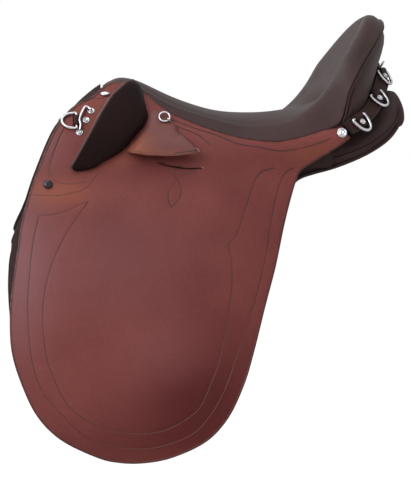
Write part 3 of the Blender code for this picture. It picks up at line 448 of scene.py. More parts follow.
def ring_closed(rings: list, shift: int) -> Shell:
    """Closed tube whose frames have turned by some sides on their way round.

    Args:
        rings: its rings.
        shift: the sides that they have turned by.

    Returns:
        The body.
    """
    grid = np.array(rings)
    rows, cols = grid.shape[:2]
    faces = lattice(grid, closed=True)
    faces += [((rows - 1) * cols + j, (j - shift) % cols, (j - shift + 1) % cols,
               (rows - 1) * cols + (j + 1) % cols) for j in range(cols)]
    return faced_out(Shell(grid.reshape(-1, 3), faces))


@dataclass(frozen=True)
class Frame:
    """Local axes of a small piece: rearward or along, upward or across, and outward."""
    spot: Vector
    along: Vector
    across: Vector
    out: Vector

    def at(self, a: float, b: float, c: float) -> Vector:
        """Place given along, across and outward."""
        return self.spot + self.along * a + self.across * b + self.out * c

    def lifted(self, height: float) -> "Frame":
        """The same axes a height further out."""
        return Frame(self.spot + self.out * height, self.along, self.across, self.out)


@dataclass(frozen=True)
class SideSurface:
    """Outer face of the near side: half-width at any place in the side view."""
    profile: Table = ((-0.440, 0.206), (-0.270, 0.194), (-0.170, 0.180), (-0.090, 0.163),
                      (-0.030, 0.146), (0.020, 0.128), (0.060, 0.112), (0.095, 0.094),
                      (0.126, 0.072), (0.146, 0.048), (0.158, 0.028))
    spread: float = 0.045
    spread_start: float = -0.105
    spread_length: float = 0.250
    bend: float = 0.013
    spread_rise: float = 0.060

    def width(self, x: np.ndarray | float, z: np.ndarray | float) -> np.ndarray:
        """Half-width at places in the side view.

        Args:
            x: places along the saddle.
            z: heights.

        Returns:
            The half-widths.
        """
        rear = smooth((np.asarray(x, float) - self.spread_start) / self.spread_length)
        return table_values(self.profile, z) + self.spread * rear * smooth(
            (np.asarray(z, float) - self.bend) / self.spread_rise)

    def points(self, x: np.ndarray, z: np.ndarray, depth: np.ndarray | float = 0.0) -> np.ndarray:
        """Points of the near side, a depth inside its face.

        Args:
            x: places along the saddle.
            z: heights.
            depth: depth inside the face.

        Returns:
            The points.
        """
        return np.column_stack((x, depth - self.width(x, z), z))

    def normals(self, x: np.ndarray, z: np.ndarray) -> np.ndarray:
        """Outward directions of the near side.

        Args:
            x: places along the saddle.
            z: heights.

        Returns:
            One unit direction for each place.
        """
        step = 0.002
        wx = (self.width(x + step, z) - self.width(x - step, z)) / (2 * step)
        wz = (self.width(x, z + step) - self.width(x, z - step)) / (2 * step)
        out = np.column_stack((-wx, -np.ones(len(wx)), -wz))
        return out / np.linalg.norm(out, axis=1, keepdims=True)

    def frame(self, place: Sequence[float], lift: float = 0.0) -> Frame:
        """Axes of a piece that sits on the side.

        Args:
            place: where it sits in the side view.
            lift: distance outward across the saddle.

        Returns:
            Its axes, rearward, upward and outward.
        """
        x, z = place
        step = 0.002
        ends = self.points(np.array([x + step, x - step, x, x]), np.array([z, z, z + step, z - step]))
        rear = Vector(ends[0] - ends[1]).normalized()
        out = rear.cross(Vector(ends[2] - ends[3])).normalized()
        spot = Vector(self.points(np.array([x]), np.array([z]), -lift)[0])
        return Frame(spot, rear, out.cross(rear).normalized(), out)


SIDE = SideSurface()


@dataclass
class LeatherCut:
    """Leather cut to an outline in the side view and laid on the side."""
    outline: np.ndarray
    thickness: float
    depth: Callable[[np.ndarray, np.ndarray], np.ndarray] | float = 0.0
    seams: Sequence[np.ndarray] = ()
    holes: Sequence[np.ndarray] = ()
    levels: Sequence[float] = ()
    # spots of colour in the side view: the leather's orange stain, painted sheen and painted shade
    tones: Sequence[tuple[Mark, float, float, float, float, float]] = ()
    floor: float | None = None
    rounding: float = 0.0012
    spacing: float = 0.0065
    seam_width: float = 0.0011
    seam_depth: float = 0.00018
    worn: float = 0.0045
    level_clear: float = 0.004
    row_pitch: float = 0.87
    rim_clear: float = 0.62
    hole_clear: float = 0.5
    line_clear: float = 0.42
    thinnest: float = 0.42

    def depths(self, x: np.ndarray, z: np.ndarray) -> np.ndarray:
        """Depth of the outer face inside the side's face."""
        return self.depth(x, z) if callable(self.depth) else np.full(len(x), self.depth)

    def loops(self) -> list[np.ndarray]:
        """Outline and holes with the lines that round their edges.

        Returns:
            The loops.
        """
        steps = [share * self.rounding for share in (0.0, 0.22, 0.55, 1.0)]
        out = [inset(self.outline, d) for d in steps]
        for hole in self.holes:
            out += [inset(hole, -d) for d in steps]
        return out

    def shell(self) -> Shell:
        """Mesh of the leather on the near side.

        Returns:
            The closed body, with marks for its cut edge and its seams.
        """
        loops, lines = self.loops(), []
        for seam in self.seams:
            lines += [seam, beside(seam, self.seam_width), beside(seam, -self.seam_width)]
        for level in self.levels:
            x = np.arange(self.outline[:, 0].min(), self.outline[:, 0].max(), self.spacing)
            row = np.column_stack((x, np.full(len(x), level)))
            keep = inside(row, self.outline) & (to_line(row, self.outline, True) > self.level_clear)
            lines += [row[keep]] if keep.sum() > 2 else []
        coords, edges = [], []
        for loop in loops:
            n = len(coords)
            coords += [tuple(p) for p in loop]
            edges += [(n + k, n + (k + 1) % len(loop)) for k in range(len(loop))]
        for line in lines:
            n = len(coords)
            coords += [tuple(p) for p in line]
            edges += [(n + k, n + k + 1) for k in range(len(line) - 1)]
        coords += [tuple(p) for p in self.filling(lines)]
        found = delaunay_2d_cdt([Vector(p) for p in coords], edges, [], 0, 1e-7)
        flat = np.array([tuple(v) for v in found[0]])
        faces = np.array([f for f in found[2] if len(f) == 3])
        middle = flat[faces].mean(1)
        keep = inside(middle, self.outline)
        for hole in self.holes:
            keep &= ~inside(middle, hole)
        return self.thickened(flat, faces[keep])

    def filling(self, lines: Sequence[np.ndarray]) -> np.ndarray:
        """Points spread between the outline and the seams.

        Args:
            lines: the seams and levels that the points keep clear of.

        Returns:
            The points.
        """
        low, high = self.outline.min(0), self.outline.max(0)
        rows = []
        for k, z in enumerate(np.arange(low[1], high[1], self.spacing * self.row_pitch)):
            x = np.arange(low[0] + (k % 2) * self.spacing / 2, high[0], self.spacing)
            rows.append(np.column_stack((x, np.full(len(x), z))))
        spots = np.vstack(rows)
        keep = inside(spots, self.outline)
        keep &= to_line(spots, self.outline, True) > self.spacing * self.rim_clear
        for hole in self.holes:
            keep &= ~inside(spots, hole) & (to_line(spots, hole, True) > self.spacing * self.hole_clear)
        for line in lines:
            keep &= to_line(spots, line) > self.spacing * self.line_clear
        return spots[keep]

    def thickened(self, flat: np.ndarray, faces: np.ndarray) -> Shell:
        """Body with both faces and its cut edge.

        Args:
            flat: places in the side view.
            faces: triangles between them.

        Returns:
            The closed body.
        """
        used = np.unique(faces)
        number = np.full(len(flat), -1)
        number[used] = np.arange(len(used))
        flat, faces = flat[used], number[faces]
        gap = to_line(flat, self.outline, True)
        for hole in self.holes:
            gap = np.minimum(gap, to_line(flat, hole, True))
        inward = np.clip(gap, 0, self.rounding)
        drop = self.rounding - np.sqrt(np.maximum(self.rounding**2 - (self.rounding - inward) ** 2, 0))
        x, z = flat[:, 0], flat[:, 1]
        depth = self.depths(x, z)
        under = depth + self.thickness
        if self.floor is not None:
            under = np.minimum(under, self.floor)
        share = (under - depth) / self.thickness
        drop = np.minimum(drop, (under - depth) * self.thinnest)
        seam = np.zeros(len(flat))
        for line in self.seams:
            seam = np.maximum(seam, 1 - to_line(flat, line) / self.seam_width)
        outer = SIDE.points(x, z, depth + drop + self.seam_depth * share * np.clip(seam, 0, 1))
        inner = SIDE.points(x, z, under - drop)
        n = len(flat)
        directed = np.vstack((faces[:, (0, 1)], faces[:, (1, 2)], faces[:, (2, 0)]))
        known = {(int(a), int(b)) for a, b in directed}
        rim = [(a, b) for a, b in known if (b, a) not in known]
        body = [tuple(int(i) for i in f) for f in faces]
        body += [tuple(int(i) + n for i in f[::-1]) for f in faces]
        body += [(b, a, a + n, b + n) for a, b in rim]
        edge = np.clip(1 - gap / self.worn, 0, 1) * share
        marks = {Mark.EDGE.value: np.concatenate((edge, np.ones(n))),
                 Mark.SEAM.value: np.concatenate((np.clip(seam, 0, 1), np.zeros(n)))}
        # Spots of the leather's orange stain, of painted sheen and of painted shade.
        for mark, spot_x, spot_z, reach_x, reach_z, amount in self.tones:
            part = amount * np.exp(-((x - spot_x) / reach_x) ** 2 - ((z - spot_z) / reach_z) ** 2)
            before = marks.get(mark.value, np.zeros(2 * n))
            marks[mark.value] = np.clip(before + np.concatenate((part, np.zeros(n))), 0, 1)
        return faced_out(Shell(np.vstack((outer, inner)), body, marks))


@dataclass(frozen=True)
class Thread:
    """Saddler's thread: how long each stitch is and how it lies."""
    stitch: float = 0.0021
    gap: float = 0.0016
    radius: float = 0.00066
    stations: Table = ((-1.0, 0.25, -0.9), (-0.72, 0.85, -0.1), (0.0, 1.0, 0.55), (0.72, 0.85, -0.1),
                       (1.0, 0.25, -0.9))
    sides: int = 6

    def along(self, path: np.ndarray, normals: np.ndarray) -> Shell:
        """Stitches along a path.

        Args:
            path: points on the leather.
            normals: outward direction at each of them.

        Returns:
            All the stitches in one mesh.
        """
        both = spaced(np.hstack((path, normals)), self.stitch + self.gap)
        spots, out = both[:, :3], both[:, 3:]
        run = np.gradient(spots, axis=0)
        run /= np.linalg.norm(run, axis=1, keepdims=True)
        out -= run * (out * run).sum(1, keepdims=True)
        out /= np.linalg.norm(out, axis=1, keepdims=True)
        side = np.cross(run, out)
        rings = []
        for place, share, lift in self.stations:
            for k in range(self.sides):
                turn = 2 * math.pi * k / self.sides
                rings.append(spots + run * (place * self.stitch / 2)
                             + out * self.radius * (lift + share * math.cos(turn))
                             + side * self.radius * share * math.sin(turn))
        verts = np.stack(rings, axis=1)
        shape = np.zeros((len(self.stations), self.sides, 3))
        one = lattice(shape, closed=True)
        count = verts.shape[1]
        one += [tuple(range(self.sides)), tuple(range(count - self.sides, count))[::-1]]
        single = faced_out(Shell(verts[0], one))
        faces = [tuple(i + count * k for i in f) for k in range(len(spots)) for f in single.faces]
        return Shell(verts.reshape(-1, 3), faces)

    def on_side(self, line: np.ndarray, depth: float = 0.0) -> Shell:
        """Stitches along a line given in the side view.

        Args:
            line: the line.
            depth: depth of the leather's face there.

        Returns:
            The stitches.
        """
        fine = spaced(line, FINE_STEP)
        x, z = fine[:, 0], fine[:, 1]
        return self.along(SIDE.points(x, z, depth + 0.0002), SIDE.normals(x, z))


THREAD = Thread()


@dataclass
class Rest:
    """Surface of a finished body that stitches and cords lie on."""
    shell: Shell
    tree: BVHTree | None = None

    def points(self, line: np.ndarray) -> tuple[np.ndarray, np.ndarray]:
        """Points and directions of the near side's outer face under a line of the side view.

        Args:
            line: the line.

        Returns:
            The points that the line meets and the direction outward at each.
        """
        if self.tree is None:
            self.tree = BVHTree.FromPolygons([tuple(v) for v in self.shell.verts], self.shell.faces)
        spots, out = [], []
        for x, z in line:
            hit, normal, _, _ = self.tree.ray_cast(Vector((x, -0.4, z)), Vector((0, 1, 0)))
            if hit is not None and hit.y < 0:
                spots.append(tuple(hit))
                out.append(tuple(normal if normal.y < 0 else -normal))
        return np.array(spots), np.array(out)

    def stitches(self, line: np.ndarray) -> Shell:
        """Row of stitches on the body."""
        spots, out = self.points(spaced(line, FINE_STEP))
        return THREAD.along(spots, out)

    def cord(self, line: np.ndarray, radius: float, sunk: float) -> Shell:
        """Covered cord that lies on the body.

        Args:
            line: its line in the side view.
            radius: radius of the cord.
            sunk: share of the radius that lies below the surface.

        Returns:
            The cord, thinner at both ends.
        """
        spots, out = self.points(spaced(line, CORD_STEP))
        count = np.arange(len(spots))
        radii = radius * np.clip(np.minimum(count, count[::-1]) / 4 + 0.15, 0, 1)
        return tube(spots + out * (radii * (1 - sunk))[:, None], radii, CORD_SIDES)


# Finishes
def adder(tree: bpy.types.NodeTree) -> Callable:
    """Call that adds a node to a tree and fills its inputs.

    Args:
        tree: the tree that the nodes go into.

    Returns:
        The call. It takes the kind of node, its settings, what goes into its first inputs in their
        order, and what goes into others by name, with underscores for spaces.
    """
    def add(kind: str, settings: dict | None = None, *first: object, **named: object) -> bpy.types.Node:
        """Add one node."""
        node = tree.nodes.new(kind)
        for key, value in (settings or {}).items():
            setattr(node, key, value)
        pairs = list(zip(node.inputs, first))
        pairs += [(node.inputs[key.replace("_", " ")], value) for key, value in named.items()]
        for socket, value in pairs:
            feed(tree, socket, value)
        return node
    return add


def feed(tree: bpy.types.NodeTree, socket: bpy.types.NodeSocket, value: object) -> None:
    """Link a socket to another one or set its value, with a colour's alpha added.

    Args:
        tree: the tree that holds both.
        socket: the input.
        value: an output of another node, a number, a vector or a colour.
    """
    if isinstance(value, bpy.types.NodeSocket):
        tree.links.new(value, socket)
    else:
        socket.default_value = (*value, 1) if socket.type == "RGBA" else value


def group_of(name: str, inputs: Sequence[tuple[str, str, object]],
             outputs: Sequence[tuple[str, str]]) -> tuple[bpy.types.NodeTree, Callable, object]:
    """New shader node group.

    Args:
        name: the group's name.
        inputs: name, socket type and default of each input.
        outputs: name and socket type of each output.

    Returns:
        The group, a call that adds a node to it, and what it is given, by name.
    """
    tree = bpy.data.node_groups.new(name, "ShaderNodeTree")
    for label, kind, default in inputs:
        socket = tree.interface.new_socket(label, in_out="INPUT", socket_type=kind)
        if default is not None:
            socket.default_value = default
    for label, kind in outputs:
        tree.interface.new_socket(label, in_out="OUTPUT", socket_type=kind)
    add = adder(tree)
    return tree, add, add("NodeGroupInput").outputs


class Effects:
    """Shader node groups that more than one finish uses, each built once."""
    made: dict[str, bpy.types.NodeTree] = {}

    @classmethod
    def get(cls, name: str) -> dict[str, bpy.types.NodeTree]:
        """Settings of a node that holds the group of a name, built on its first use.

        Args:
            name: the group's name.

        Returns:
            The settings.
        """
        if name not in cls.made:
            cls.made[name] = getattr(cls, name)()
        return {"node_tree": cls.made[name]}

    @staticmethod
    def hide_grain() -> bpy.types.NodeTree:
        """Grain of leather: small cells with finer pores and soft wrinkles."""
        tree, add, given = group_of(
            "hide_grain", (("Vector", "NodeSocketVector", None), ("Cells", "NodeSocketFloat", 600.0),
                           ("Wrinkles", "NodeSocketFloat", 0.3)), (("Height", "NodeSocketFloat"),))
        vector = given["Vector"]
        warp = add("ShaderNodeTexNoise", Vector=vector, Scale=90.0, Detail=2.0)
        moved = add("ShaderNodeMixRGB", {"blend_type": "ADD"}, 0.004, vector, warp.outputs["Color"])
        cells = add("ShaderNodeTexVoronoi", {"feature": "DISTANCE_TO_EDGE"}, Vector=moved.outputs[0],
                    Scale=given["Cells"])
        flat = add("ShaderNodeMapRange", Value=cells.outputs[0], From_Max=0.22)
        pores = add("ShaderNodeTexNoise", Vector=vector, Scale=1500.0, Detail=2.0)
        folds = add("ShaderNodeTexNoise", Vector=vector, Scale=38.0, Detail=5.0)
        fine = add("ShaderNodeMath", {"operation": "MULTIPLY_ADD"}, pores.outputs[0], 0.35,
                   flat.outputs[0])
        whole = add("ShaderNodeMath", {"operation": "MULTIPLY_ADD"}, folds.outputs[0],
                    given["Wrinkles"], fine.outputs[0])
        add("NodeGroupOutput", Height=whole.outputs[0])
        return tree

    @staticmethod
    def hide_tone() -> bpy.types.NodeTree:
        """Colour of dyed leather: slow clouds of two tones with fine mottling."""
        tree, add, given = group_of(
            "hide_tone", (("Vector", "NodeSocketVector", None), ("Deep", "NodeSocketColor", None),
                          ("Light", "NodeSocketColor", None), ("Clouds", "NodeSocketFloat", 9.0)),
            (("Color", "NodeSocketColor"), ("Cloud", "NodeSocketFloat")))
        clouds = add("ShaderNodeTexNoise", Vector=given["Vector"], Scale=given["Clouds"], Detail=4.0)
        flecks = add("ShaderNodeTexNoise", Vector=given["Vector"], Scale=260.0, Detail=3.0)
        both = add("ShaderNodeMath", {"operation": "MULTIPLY_ADD"}, flecks.outputs[0], 0.30,
                   clouds.outputs[0])
        spread = add("ShaderNodeMapRange", Value=both.outputs[0], From_Min=0.42, From_Max=0.86)
        tone = add("ShaderNodeMixRGB", None, spread.outputs[0], given["Deep"], given["Light"])
        add("NodeGroupOutput", Color=tone.outputs[0], Cloud=spread.outputs[0])
        return tree

    @staticmethod
    def rubbed() -> bpy.types.NodeTree:
        """Broken mask along an edge or a seam, from the value that the mesh carries there: rubbed wear at an
        edge, painted shade along a seam.
        """
        tree, add, given = group_of(
            "rubbed", (("Vector", "NodeSocketVector", None), ("Near", "NodeSocketFloat", 0.0),
                       ("Amount", "NodeSocketFloat", 1.0)), (("Mask", "NodeSocketFloat"),))
        broken = add("ShaderNodeTexNoise", Vector=given["Vector"], Scale=180.0, Detail=4.0)
        part = add("ShaderNodeMath", {"operation": "MULTIPLY"}, given["Near"], broken.outputs[0])
        ranged = add("ShaderNodeMapRange", Value=part.outputs[0], From_Min=0.22, From_Max=0.55)
        scaled = add("ShaderNodeMath", {"operation": "MULTIPLY"}, ranged.outputs[0], given["Amount"])
        add("NodeGroupOutput", Mask=scaled.outputs[0])
        return tree

    @staticmethod
    def scuffs() -> bpy.types.NodeTree:
        """Fine scratches and smudges on metal and polish."""
        tree, add, given = group_of(
            "scuffs", (("Vector", "NodeSocketVector", None), ("Scale", "NodeSocketFloat", 200.0)),
            (("Smudge", "NodeSocketFloat"), ("Height", "NodeSocketFloat")))
        smudge = add("ShaderNodeTexNoise", Vector=given["Vector"], Scale=given["Scale"], Detail=5.0)
        lines = add("ShaderNodeTexWave", Vector=given["Vector"], Scale=given["Scale"],
                    Distortion=14.0, Detail=3.0)
        add("NodeGroupOutput", Smudge=smudge.outputs[0], Height=lines.outputs[1])
        return tree


@dataclass(frozen=True)
class Finish:
    """What every finish has: a name, and one material that is built on its first use."""
    name: str
    made: list = field(default_factory=list, compare=False, repr=False, kw_only=True)

    def material(self) -> bpy.types.Material:
        """The material.

        Returns:
            A Principled shader that is fed by this finish's own nodes.
        """
        if not self.made:
            material = bpy.data.materials.new(self.name)
            material.use_nodes = True
            tree = material.node_tree
            add = adder(tree)
            fed = self.surface(add, add("ShaderNodeTexCoord").outputs["Object"])
            for label, value in fed.items():
                feed(tree, tree.nodes["Principled BSDF"].inputs[label], value)
            self.made.append(material)
        return self.made[0]

    def surface(self, add: Callable, place: bpy.types.NodeSocket) -> dict[str, object]:
        """What goes into each of the shader's inputs, which every finish gives in its own way.

        Args:
            add: call that adds a node.
            place: socket with the place on the piece.

        Returns:
            Values or sockets by the name of the input.
        """
        raise NotImplementedError(self.name)


@dataclass(frozen=True)
class LeatherFinish(Finish):
    """Dyed saddle leather."""
    deep: Colour
    light: Colour
    rim: Colour
    cells: float = 700.0
    grain: float = 0.35
    wrinkles: float = 0.3
    roughness: float = 0.42
    clouds: float = 9.0
    shine: float = 0.2
    polish: float = 0.03
    warm: Colour = (0.30, 0.085, 0.040)
    # purplish colour that paints a sheen where the leather would reflect the lamps
    plum: Colour = (0.20, 0.085, 0.090)
    # share of the deep colour that paints shade where the flap turns from the light
    painted_shade_share: Colour = (0.62, 0.36, 0.36)
    # share of the deep colour that paints shade into the seams
    shaded: float = 0.35
    wear: float = 0.85
    # how much the seams are darkened with that painted shade
    seam_shade: float = 0.06

    def surface(self, add: Callable, place: bpy.types.NodeSocket) -> dict[str, object]:
        """Clouded dye with toned spots, painted sheen and painted shade, rubbed edges and painted shade
        along the seams, over a grain.

        Args:
            add: call that adds a node.
            place: socket with the place on the piece.

        Returns:
            What goes into each of the shader's inputs.
        """
        tone = add("ShaderNodeGroup", Effects.get("hide_tone"), Vector=place, Deep=self.deep,
                   Light=self.light, Clouds=self.clouds)
        colour = tone.outputs["Color"]
        # Purplish spots mix in a painted sheen and darker spots painted shade; warm spots are the leather's
        # orange stain.
        painted_shade = tuple(share * part for share, part in zip(self.painted_shade_share, self.deep))
        for mark, shade in ((Mark.WARM, self.warm), (Mark.PAINTED_SHEEN, self.plum), (Mark.PAINTED_SHADE, painted_shade)):
            near = add("ShaderNodeAttribute", {"attribute_name": mark.value})
            colour = add("ShaderNodeMixRGB", None, near.outputs["Fac"], colour, shade).outputs[0]
        # The edges take the rim colour where rubbed; the seams are darkened with painted shade of their
        # grooves.
        dark = tuple(self.shaded * part for part in self.deep)
        for mark, shade, amount in ((Mark.EDGE, self.rim, self.wear), (Mark.SEAM, dark, self.seam_shade)):
            near = add("ShaderNodeAttribute", {"attribute_name": mark.value})
            worn = add("ShaderNodeGroup", Effects.get("rubbed"), Vector=place,
                       Near=near.outputs["Fac"], Amount=amount)
            colour = add("ShaderNodeMixRGB", None, worn.outputs[0], colour, shade).outputs[0]
        gloss = add("ShaderNodeMapRange", Value=tone.outputs["Cloud"], To_Min=self.roughness - 0.05,
                    To_Max=self.roughness + 0.07)
        grain = add("ShaderNodeGroup", Effects.get("hide_grain"), Vector=place, Cells=self.cells,
                    Wrinkles=self.wrinkles)
        relief = add("ShaderNodeBump", Strength=self.grain, Distance=0.0006,
                     Height=grain.outputs["Height"])
        return {"Base Color": colour, "Roughness": gloss.outputs[0], "Normal": relief.outputs[0],
                "Specular IOR Level": self.shine, "Coat Weight": self.polish, "Coat Roughness": 0.35}


@dataclass(frozen=True)
class MetalFinish(Finish):
    """Plated, painted or plain metal."""
    bright: Colour
    dull: Colour
    roughness: float = 0.16
    scale: float = 160.0

    def surface(self, add: Callable, place: bpy.types.NodeSocket) -> dict[str, object]:
        """Bright metal with smudges and fine scratches.

        Args:
            add: call that adds a node.
            place: socket with the place on the piece.

        Returns:
            What goes into each of the shader's inputs.
        """
        marks = add("ShaderNodeGroup", Effects.get("scuffs"), Vector=place, Scale=self.scale)
        colour = add("ShaderNodeMixRGB", None, marks.outputs["Smudge"], self.bright, self.dull)
        gloss = add("ShaderNodeMapRange", Value=marks.outputs["Smudge"], From_Min=0.3, From_Max=0.7,
                    To_Min=self.roughness, To_Max=self.roughness + 0.14)
        relief = add("ShaderNodeBump", Strength=0.08, Distance=0.0002, Height=marks.outputs["Height"])
        return {"Base Color": colour.outputs[0], "Roughness": gloss.outputs[0],
                "Normal": relief.outputs[0], "Metallic": 1.0}


@dataclass(frozen=True)
class ThreadFinish(Finish):
    """Waxed thread, paler towards the low rear, where it is rubbed."""
    deep: Colour
    light: Colour
    pale: Colour

    def surface(self, add: Callable, place: bpy.types.NodeSocket) -> dict[str, object]:
        """Twisted thread that fades along the saddle and with height.

        Args:
            add: call that adds a node.
            place: socket with the place on the piece.

        Returns:
            What goes into each of the shader's inputs.
        """
        tone = add("ShaderNodeGroup", Effects.get("hide_tone"), Vector=place, Deep=self.deep,
                   Light=self.light, Clouds=140.0)
        along = add("ShaderNodeSeparateXYZ", Vector=place)
        rear = add("ShaderNodeMapRange", Value=along.outputs[0], From_Min=-0.24, From_Max=-0.13,
                   To_Max=0.9)
        faded = add("ShaderNodeMapRange", Value=along.outputs[2], From_Min=-0.27, From_Max=-0.17,
                    To_Min=rear.outputs[0], To_Max=0.0)
        colour = add("ShaderNodeMixRGB", None, faded.outputs[0], tone.outputs["Color"], self.pale)
        twist = add("ShaderNodeTexWave", Vector=place, Scale=900.0, Distortion=2.0)
        relief = add("ShaderNodeBump", Strength=0.4, Distance=0.0002, Height=twist.outputs[1])
        return {"Base Color": colour.outputs[0], "Normal": relief.outputs[0], "Roughness": 0.6}


@dataclass(frozen=True)
class WebbingFinish(Finish):
    """Woven webbing that carries the seat."""
    deep: Colour
    light: Colour

    def surface(self, add: Callable, place: bpy.types.NodeSocket) -> dict[str, object]:
        """Plain weave of warp and weft.

        Args:
            add: call that adds a node.
            place: socket with the place on the piece.

        Returns:
            What goes into each of the shader's inputs.
        """
        warp, weft = (add("ShaderNodeTexWave", {"bands_direction": way}, Vector=place, Scale=160.0)
                      for way in "XY")
        woven = add("ShaderNodeMath", {"operation": "MULTIPLY"}, warp.outputs[1], weft.outputs[1])
        colour = add("ShaderNodeMixRGB", None, woven.outputs[0], self.deep, self.light)
        relief = add("ShaderNodeBump", Strength=0.6, Distance=0.0006, Height=woven.outputs[0])
        return {"Base Color": colour.outputs[0], "Normal": relief.outputs[0], "Roughness": 0.85}


TAN = LeatherFinish("flap_hide", (0.124, 0.028, 0.025), (0.180, 0.046, 0.041), (0.040, 0.012, 0.010),
                    shine=0.14)
TAN_UPPER = LeatherFinish("skirt_hide", (0.110, 0.034, 0.030), (0.150, 0.052, 0.047),
                          (0.060, 0.020, 0.016), shine=0.20)
DARK = LeatherFinish("seat_hide", (0.027, 0.012, 0.012), (0.046, 0.022, 0.021), (0.010, 0.005, 0.005),
                     cells=620.0, grain=0.45, roughness=0.36, wrinkles=0.9, shine=0.16)
PAD = LeatherFinish("pad_hide", (0.0085, 0.0032, 0.0032), (0.0150, 0.0065, 0.0063),
                    (0.030, 0.018, 0.017), cells=640.0, grain=0.4, roughness=0.42, wrinkles=0.8,
                    shine=0.045)
UNDER = LeatherFinish("panel_hide", (0.034, 0.017, 0.016), (0.050, 0.027, 0.026),
                      (0.012, 0.006, 0.006), cells=560.0, grain=0.5, roughness=0.5, wrinkles=0.9,
                      shine=0.10)
# Cord along the knee pad's front: its colour, lighter than the pad's leather, is partly the welt's own
# reddish leather and partly a painted highlight along the pad's front edge.
WELT = LeatherFinish("welt_hide", (0.048, 0.020, 0.019), (0.080, 0.036, 0.034), (0.030, 0.012, 0.010),
                     roughness=0.34, shine=0.30)
STRAP = LeatherFinish("strap_hide", (0.022, 0.009, 0.008), (0.036, 0.016, 0.014),
                      (0.010, 0.005, 0.005), roughness=0.46, shine=0.08)
COVER = LeatherFinish("tree_cover_hide", (0.020, 0.011, 0.010), (0.030, 0.017, 0.016),
                      (0.012, 0.007, 0.007), cells=420.0, grain=0.6, roughness=0.6, shine=0.08)
CHROME = MetalFinish("plated_steel", (0.60, 0.60, 0.62), (0.40, 0.39, 0.41))
BLACK = MetalFinish("black_stud", (0.05, 0.05, 0.06), (0.02, 0.02, 0.025), roughness=0.22)
STEEL = MetalFinish("bar_steel", (0.46, 0.46, 0.47), (0.30, 0.29, 0.29), roughness=0.32)
DARK_THREAD = ThreadFinish("dark_thread", (0.008, 0.004, 0.004), (0.022, 0.010, 0.009),
                           (0.20, 0.12, 0.105))
STRAP_THREAD = ThreadFinish("strap_thread", (0.008, 0.004, 0.004), (0.022, 0.010, 0.009),
                            (0.022, 0.012, 0.011))
WEBBING = WebbingFinish("seat_webbing_weave", (0.22, 0.18, 0.13), (0.50, 0.43, 0.33))
RAW_EDGE = LeatherFinish("raw_edge_hide", (0.26, 0.11, 0.065), (0.36, 0.18, 0.12),
                         (0.20, 0.08, 0.05))


def dressed(shell: Shell, name: str, finish: Finish) -> bpy.types.Object:
    """Put one piece in the scene, with its finish.

    Args:
        shell: its mesh.
        name: its name.
        finish: its finish, which also gives its slot.

    Returns:
        The new object.
    """
    obj = shell.piece(name)
    obj.data.materials.append(finish.material())
    log.info("%s: %d points in %s", name, len(shell.verts), finish.name)
    return obj


def place_piece(shell: Shell, name: str, finish: Finish, body: str,
                stands_for: Sequence[str] = ()) -> bpy.types.Object:
    """Put one piece in the scene on the body that it moves with.

    Args:
        shell: its mesh.
        name: its name.
        finish: its finish.
        body: the body that it rides on.
        stands_for: the solids that it replaces.

    Returns:
        The new object.
    """
    obj = dressed(shell, name, finish)
    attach(obj, body)
    if stands_for:
        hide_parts(*stands_for)
    return obj


def rounded(obj: bpy.types.Object, width: float, sharp: float = math.radians(38)) -> None:
    """Round the sharp edges of a piece with a bevel.

    Args:
        obj: the piece.
        width: width of the bevel.
        sharp: angle from which an edge counts as sharp.
    """
    bevel = obj.modifiers.new("rounded_edges", "BEVEL")
    bevel.width = width
    bevel.segments = 2
    bevel.limit_method = "ANGLE"
    bevel.angle_limit = sharp


